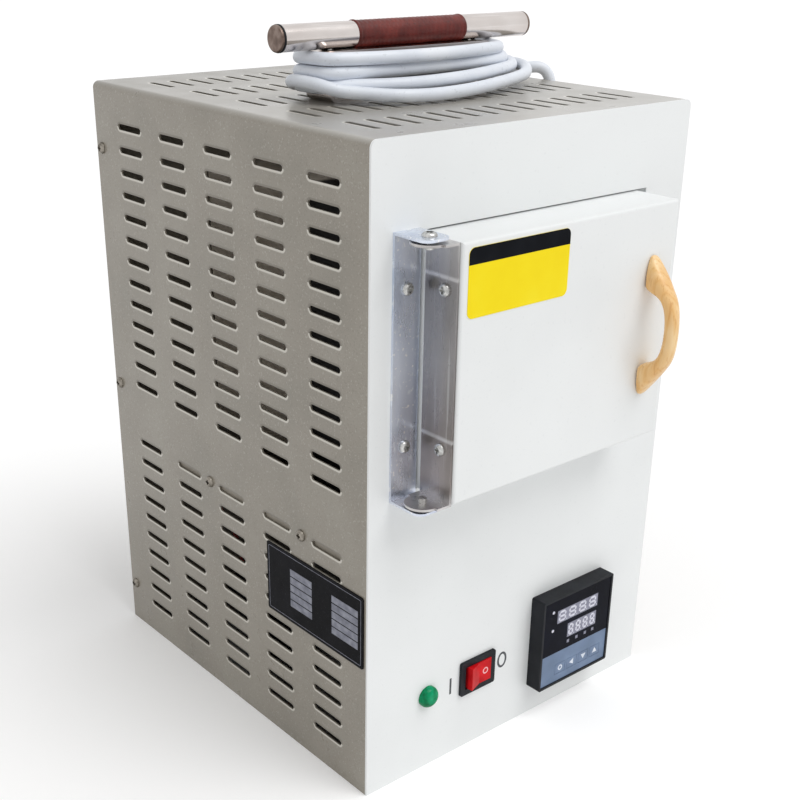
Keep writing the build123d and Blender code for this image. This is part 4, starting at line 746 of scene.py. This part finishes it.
def rollGrip(look):
    profile = []
    for k in range(look["steps"] + 1):
        x = look["left"] + (look["right"] - look["left"]) * k / look["steps"]
        fromEnd = min(x - look["left"], look["right"] - x)
        roll = look["roll"] * math.sin(math.pi * fromEnd / look["rollMm"]) if fromEnd < look["rollMm"] else 0
        ripple = look["ripple"] * math.sin(2 * math.pi * (x - look["left"]) / look["rippleMm"])
        profile.append((x, look["radius"] + roll + ripple))
    profile += [(look["right"], look["bore"]), (look["left"], look["bore"])]
    grip = lathe("handleSleeve", profile, look["axis"], look["sides"])
    return dressPiece(grip, "grained oxblood vinyl", "kiln", "grip_vinyl", "handle_grip")


def turnCapRing(look):
    profile = [(look["left"], look["bore"]), (look["left"], look["radius"]),
               (look["right"], look["radius"]), (look["right"], look["bore"])]
    ring = lathe("capRing", profile, look["axis"], look["sides"])
    return dressPiece(ring, "spark-textured black ABS", "kiln", "control_black")


rollGrip(gripLook)
turnCapRing(capRingLook)
print("grip rolled")


# coiled resistance wire in the furnace's side boards

elementLook = dict(leftX=-66.9, rightX=57.9, rows=(259.5, 279.5, 299.5, 319.5), frontY=-116.7, turnY=-10.7,
                   endY=67.3, bendMm=9.4, bendRiseMm=6, bendNose=0.1, resolution=12,
                   coilMm=1.08, wireMm=0.42, pitchMm=2.1, perTurn=8, wireSides=5)


def windElement(look):
    # the wire's route is a spline on each side, and the coil is wound round the line that it gives
    coils = []
    for x in (look["leftX"], look["rightX"]):
        route = [(x, look["endY"], look["rows"][0])]
        for i, row in enumerate(look["rows"]):
            toFront = i % 2 == 0
            nearY = look["frontY"] if toFront else look["turnY"]
            farY = look["turnY"] if toFront else look["frontY"]
            inset = look["bendMm"] if toFront else -look["bendMm"]
            if i:
                route.append((x, farY - inset * look["bendNose"], row - look["bendRiseMm"]))
                route.append((x, farY - inset, row))
            if i < len(look["rows"]) - 1:
                route.append((x, nearY + inset, row))
                route.append((x, nearY + inset * look["bendNose"], row + look["bendRiseMm"]))
        route.append((x, look["endY"], look["rows"][-1]))
        curve = easedCurve("elementRoute", route, look["resolution"])
        guide = bpy.data.objects.new("elementRoute", curve)
        line = linePoints(guide)
        bpy.data.objects.remove(guide)
        bpy.data.curves.remove(curve)
        helix = []
        step = look["pitchMm"] * mm / look["perTurn"]
        angle = left = 0.0
        for here, there in zip(line, line[1:]):
            run = (there - here).length
            ahead = (there - here).normalized()
            side = Vector((1, 0, 0))
            up = ahead.cross(side)
            while left < run:
                wind = look["coilMm"] * mm * (side * math.cos(angle) + up * math.sin(angle))
                helix.append(here + ahead * left + wind)
                angle += 2 * math.pi / look["perTurn"]
                left += step
            left -= run
        coils.append(ringsAlong(helix, [look["wireMm"] * mm] * len(helix), look["wireSides"]))
    return dressPiece(ringPiece("elementCoils", coils), "oxidised resistance wire", "kiln", "element_wire",
                      "heating_elements")


windElement(elementLook)
print("elements wound")


# printed marks

frontFace = dict(across=(1, 0, 0), up=(0, 0, 1))
leftFace = dict(across=(0, -1, 0), up=(0, 0, 1))

labelLook = dict(left=-92.0, right=-11.5, low=323.6, high=363.6, headerMm=9.6, cornerMm=4.0, faceY=-182.3)


def printLabel(look):
    header = roundedOutline(look["left"], look["high"] - look["headerMm"], look["right"], look["high"],
                            (0, 0, look["cornerMm"], look["cornerMm"]))
    piece = printedShapes("labelHeader", [header], **frontFace, corner=(0, look["faceY"], 0))
    dressPiece(piece, "printed black vinyl film", "door", "label_yellow")


printLabel(labelLook)

plateLook = dict(width=101.0, height=51.0, rearY=-44.5, lowZ=95.5, faceX=-134.3, insetMm=2.0, lineMm=0.35,
                 corners=(1, 0.7), rows=5, firstMm=11.0, pitchMm=5.7, cellMm=4.9,
                 columns=((25.755, 48.985), (69.69, 95.95)))


def printPlate(look):
    outlines = []
    for inset, radius in zip((look["insetMm"], look["insetMm"] + look["lineMm"]), look["corners"]):
        outlines.append(roundedOutline(inset, inset, look["width"] - inset, look["height"] - inset,
                                       [radius] * 4))
    for start, end in look["columns"]:
        for row in range(look["rows"]):
            high = look["height"] - look["firstMm"] - row * look["pitchMm"]
            outlines.append(bar(start, high - look["cellMm"], end, high))
    piece = printedShapes("plateCells", outlines, **leftFace,
                          corner=(look["faceX"], look["rearY"], look["lowZ"]))
    dressPiece(piece, "screen-printed pale ink", "kiln", "plate_black")


printPlate(plateLook)

displayLook = dict(
    faceY=-160.5, strokeMm=1.7, gapMm=0.2, slimMm=0.06,
    across=dict(space=0.12, digit=0.72, point=0.8),  # shares of a digit's pitch
    upward=dict(space=0.08, digit=0.84, point=0.12),  # shares of a row's height
    pointMm=0.45, markMm=1.2,
    rows=[dict(left=29.5, right=71.5, low=73.8, high=84.0), dict(left=41.0, right=71.0, low=58.8, high=70.0)],
    digits=4, lamps=[(25.0, 84.5, 1.2), (25.4, 69.5, 1.2)],
    underMarks=[(42.5, 55.2), (51.5, 55.2), (60.5, 55.2), (68.5, 55.2)])


def sevenSegments(left, low, wide, high, stroke, gap, slim):
    # the seven bars of an unlit digit, each with pointed ends
    mid = low + high / 2
    flat = [(left, left + wide, level) for level in (low + stroke / 2, mid, low + high - stroke / 2)]
    upright = [(x, bottom, top) for x in (left + stroke / 2, left + wide - stroke / 2)
               for bottom, top in ((low + stroke / 2, mid), (mid, low + high - stroke / 2))]
    half = stroke / 2 - slim
    shapes = []
    for x0, x1, level in flat:
        a, b = x0 + stroke / 2 + gap, x1 - stroke / 2 - gap
        shapes.append([(a, level), (a + half, level - half), (b - half, level - half), (b, level),
                       (b - half, level + half), (a + half, level + half)])
    for x, bottom, top in upright:
        a, b = bottom + gap, top - gap
        shapes.append([(x, a), (x + half, a + half), (x + half, b - half), (x, b), (x - half, b - half),
                       (x - half, a + half)])
    return shapes


def fitDisplays(look):
    backings, segments = [], []
    across, upward = look["across"], look["upward"]
    for row in look["rows"]:
        backings.append(bar(row["left"], row["low"], row["right"], row["high"]))
        pitch = (row["right"] - row["left"]) / look["digits"]
        high = row["high"] - row["low"]
        for i in range(look["digits"]):
            left = row["left"] + i * pitch + pitch * across["space"]
            segments += sevenSegments(left, row["low"] + high * upward["space"], pitch * across["digit"],
                                      high * upward["digit"], look["strokeMm"], look["gapMm"], look["slimMm"])
            segments.append(oval(left + pitch * across["point"], row["low"] + high * upward["point"],
                                 look["pointMm"], look["pointMm"], 12))
    segments += [oval(x, z, r, r, 16) for x, z, r in look["lamps"]]
    half = look["markMm"]
    backings += [bar(x - half, z - half, x + half, z + half) for x, z in look["underMarks"]]
    backing = printedShapes("displayBacking", backings, **frontFace, corner=(0, look["faceY"], 0))
    dressPiece(backing, "unlit display backing", "kiln", "display_dark")
    digits = printedShapes("displaySegments", segments, **frontFace, corner=(0, look["faceY"] - inkMm, 0))
    dressPiece(digits, "unlit epoxy segment", "kiln", "display_dark")


fitDisplays(displayLook)

keyLook = dict(
    faceY=-160.35, z=35.4,
    marks=dict(  # the middle of each key, and the outlines round it
        key_set=(36.35, [oval(0, 0, 2.2, 2.2), oval(0, 0, 1.2, 1.2)]),
        key_shift=(48.65, [[(-2.5, 0), (1.6, -2.4), (1.6, 2.4)]]),
        key_down=(60.95, [[(0, -2.3), (2.5, 1.7), (-2.5, 1.7)]]),
        key_up=(73.25, [[(-2.5, -1.7), (2.5, -1.7), (0, 2.3)]])))


def printKeys(look):
    for body, (x, outlines) in look["marks"].items():
        placed = [[(x + u, look["z"] + v) for u, v in outline] for outline in outlines]
        mark = printedShapes(body + "Mark", placed, **frontFace, corner=(0, look["faceY"], 0))
        dressPiece(mark, "screen-printed white ink", body, "keypad_blue")


printKeys(keyLook)

switchLook = dict(panelY=-149.0, onMark=(-61.0, 54.5), offMark=(-12.5, 56.0), highMm=12.5, wideMm=9.0,
                  strokeMm=1.7, downHalf=(-30.7, -151.47, 56.0), ringRadii=(2.5, 1.6))


def printSwitchMarks(look):
    # a bar for on and a ring for off beside the switch, and a ring on the rocker's off half
    x, z = look["onMark"]
    wide, high, stroke = look["wideMm"] / 2, look["highMm"] / 2, look["strokeMm"]
    shapes = [bar(x - stroke / 2, z - high, x + stroke / 2, z + high)]
    shapes += [oval(*look["offMark"], wide - inset, high - inset, 40) for inset in (0, stroke)]
    marks = printedShapes("switchMarks", shapes, **frontFace, corner=(0, look["panelY"], 0))
    dressPiece(marks, "dark grey pad-print ink", "kiln", "panel_paint")
    rings = [oval(0, 0, r, r) for r in look["ringRadii"]]
    off = printedShapes("rockerOffMark", rings, **frontFace, corner=look["downHalf"])
    dressPiece(off, "pink pad-print ink", "rocker", "rocker_red")


printSwitchMarks(switchLook)
print("marks printed")


# studio

studioLook = dict(
    floorMm=40000, floorLift=0.12,
    floorShader={"Base Color": hexToLinear("F7F7F7"), "Roughness": 0.9, "Specular IOR Level": 0.1},
    roomLevel=0.6, sunLevel=1.45, sunSoftDeg=40, sunFrom=(0.2, -0.45, 0.87))
cameraLook = dict(lensMm=56.275, sensorMm=36, shift=(0.02359, 0.09184), farM=100,
                  placeM=(-0.55461, -0.65570, 0.52830), turnDeg=(65.743, -0.638, -40.060))


def seenRays(tree, *kinds):
    # one for a ray of any of these kinds, and nought for the rest
    rays = addNode(tree, "LightPath").outputs
    seen = rays[kinds[0]]
    for kind in kinds[1:]:
        seen = addNode(tree, "Math", links={0: seen, 1: rays[kind]}, operation="MAXIMUM").outputs[0]
    return seen


def buildFloor(look):
    # pale floor: it shows the kiln's shadow, and lifts to white for the camera, as the room behind it does
    half = look["floorMm"] * mm / 2
    mesh = bpy.data.meshes.new("studioFloor")
    shape = bmesh.new()
    bmesh.ops.create_grid(shape, x_segments=8, y_segments=8, size=half)
    shape.to_mesh(mesh)
    shape.free()
    floor = linkPiece("studioFloor", mesh)
    material, tree, shader = newMaterial("pale studio floor", look["floorShader"])
    seen = seenRays(tree, "Is Camera Ray", "Is Glossy Ray")
    lift = addNode(tree, "Emission", {"Color": grey(1), "Strength": look["floorLift"]})
    lifted = addNode(tree, "AddShader", links={0: shader.outputs[0], 1: lift.outputs[0]})
    mix = addNode(tree, "MixShader", links={0: seen, 1: shader.outputs[0], 2: lifted.outputs[0]})
    tree.links.new(mix.outputs[0], tree.nodes["Material Output"].inputs["Surface"])
    mesh.materials.append(material)


def buildLight(look):
    # an even white room, dimmer for the light that it gives than for what sees it, and one very soft sun
    world = bpy.data.worlds.new("studioRoom")
    bpy.context.scene.world = world
    world.use_nodes = True
    tree = world.node_tree
    seen = seenRays(tree, "Is Camera Ray", "Is Glossy Ray", "Is Transmission Ray")
    level = addNode(tree, "MapRange", {3: look["roomLevel"], 4: 1.0}, {0: seen})
    tree.nodes["Background"].inputs["Color"].default_value = grey(1)
    tree.links.new(level.outputs[0], tree.nodes["Background"].inputs["Strength"])
    lamp = bpy.data.lights.new("softSun", "SUN")
    lamp.energy = look["sunLevel"]
    lamp.angle = math.radians(look["sunSoftDeg"])
    sun = linkPiece("softSun", lamp)
    sun.location = look["sunFrom"]
    sun.rotation_euler = Vector(look["sunFrom"]).to_track_quat("Z", "Y").to_euler()


def placeCamera(look):
    lens = bpy.data.cameras.new("photoCamera")
    lens.lens = look["lensMm"]
    lens.sensor_width = look["sensorMm"]
    lens.shift_x, lens.shift_y = look["shift"]
    lens.clip_end = look["farM"]
    camera = linkPiece("photoCamera", lens)
    camera.location = look["placeM"]
    camera.rotation_euler = [math.radians(a) for a in look["turnDeg"]]
    bpy.context.scene.camera = camera


buildFloor(studioLook)
buildLight(studioLook)
placeCamera(cameraLook)
bpy.context.scene.view_settings.view_transform = "Standard"
print("studio set")
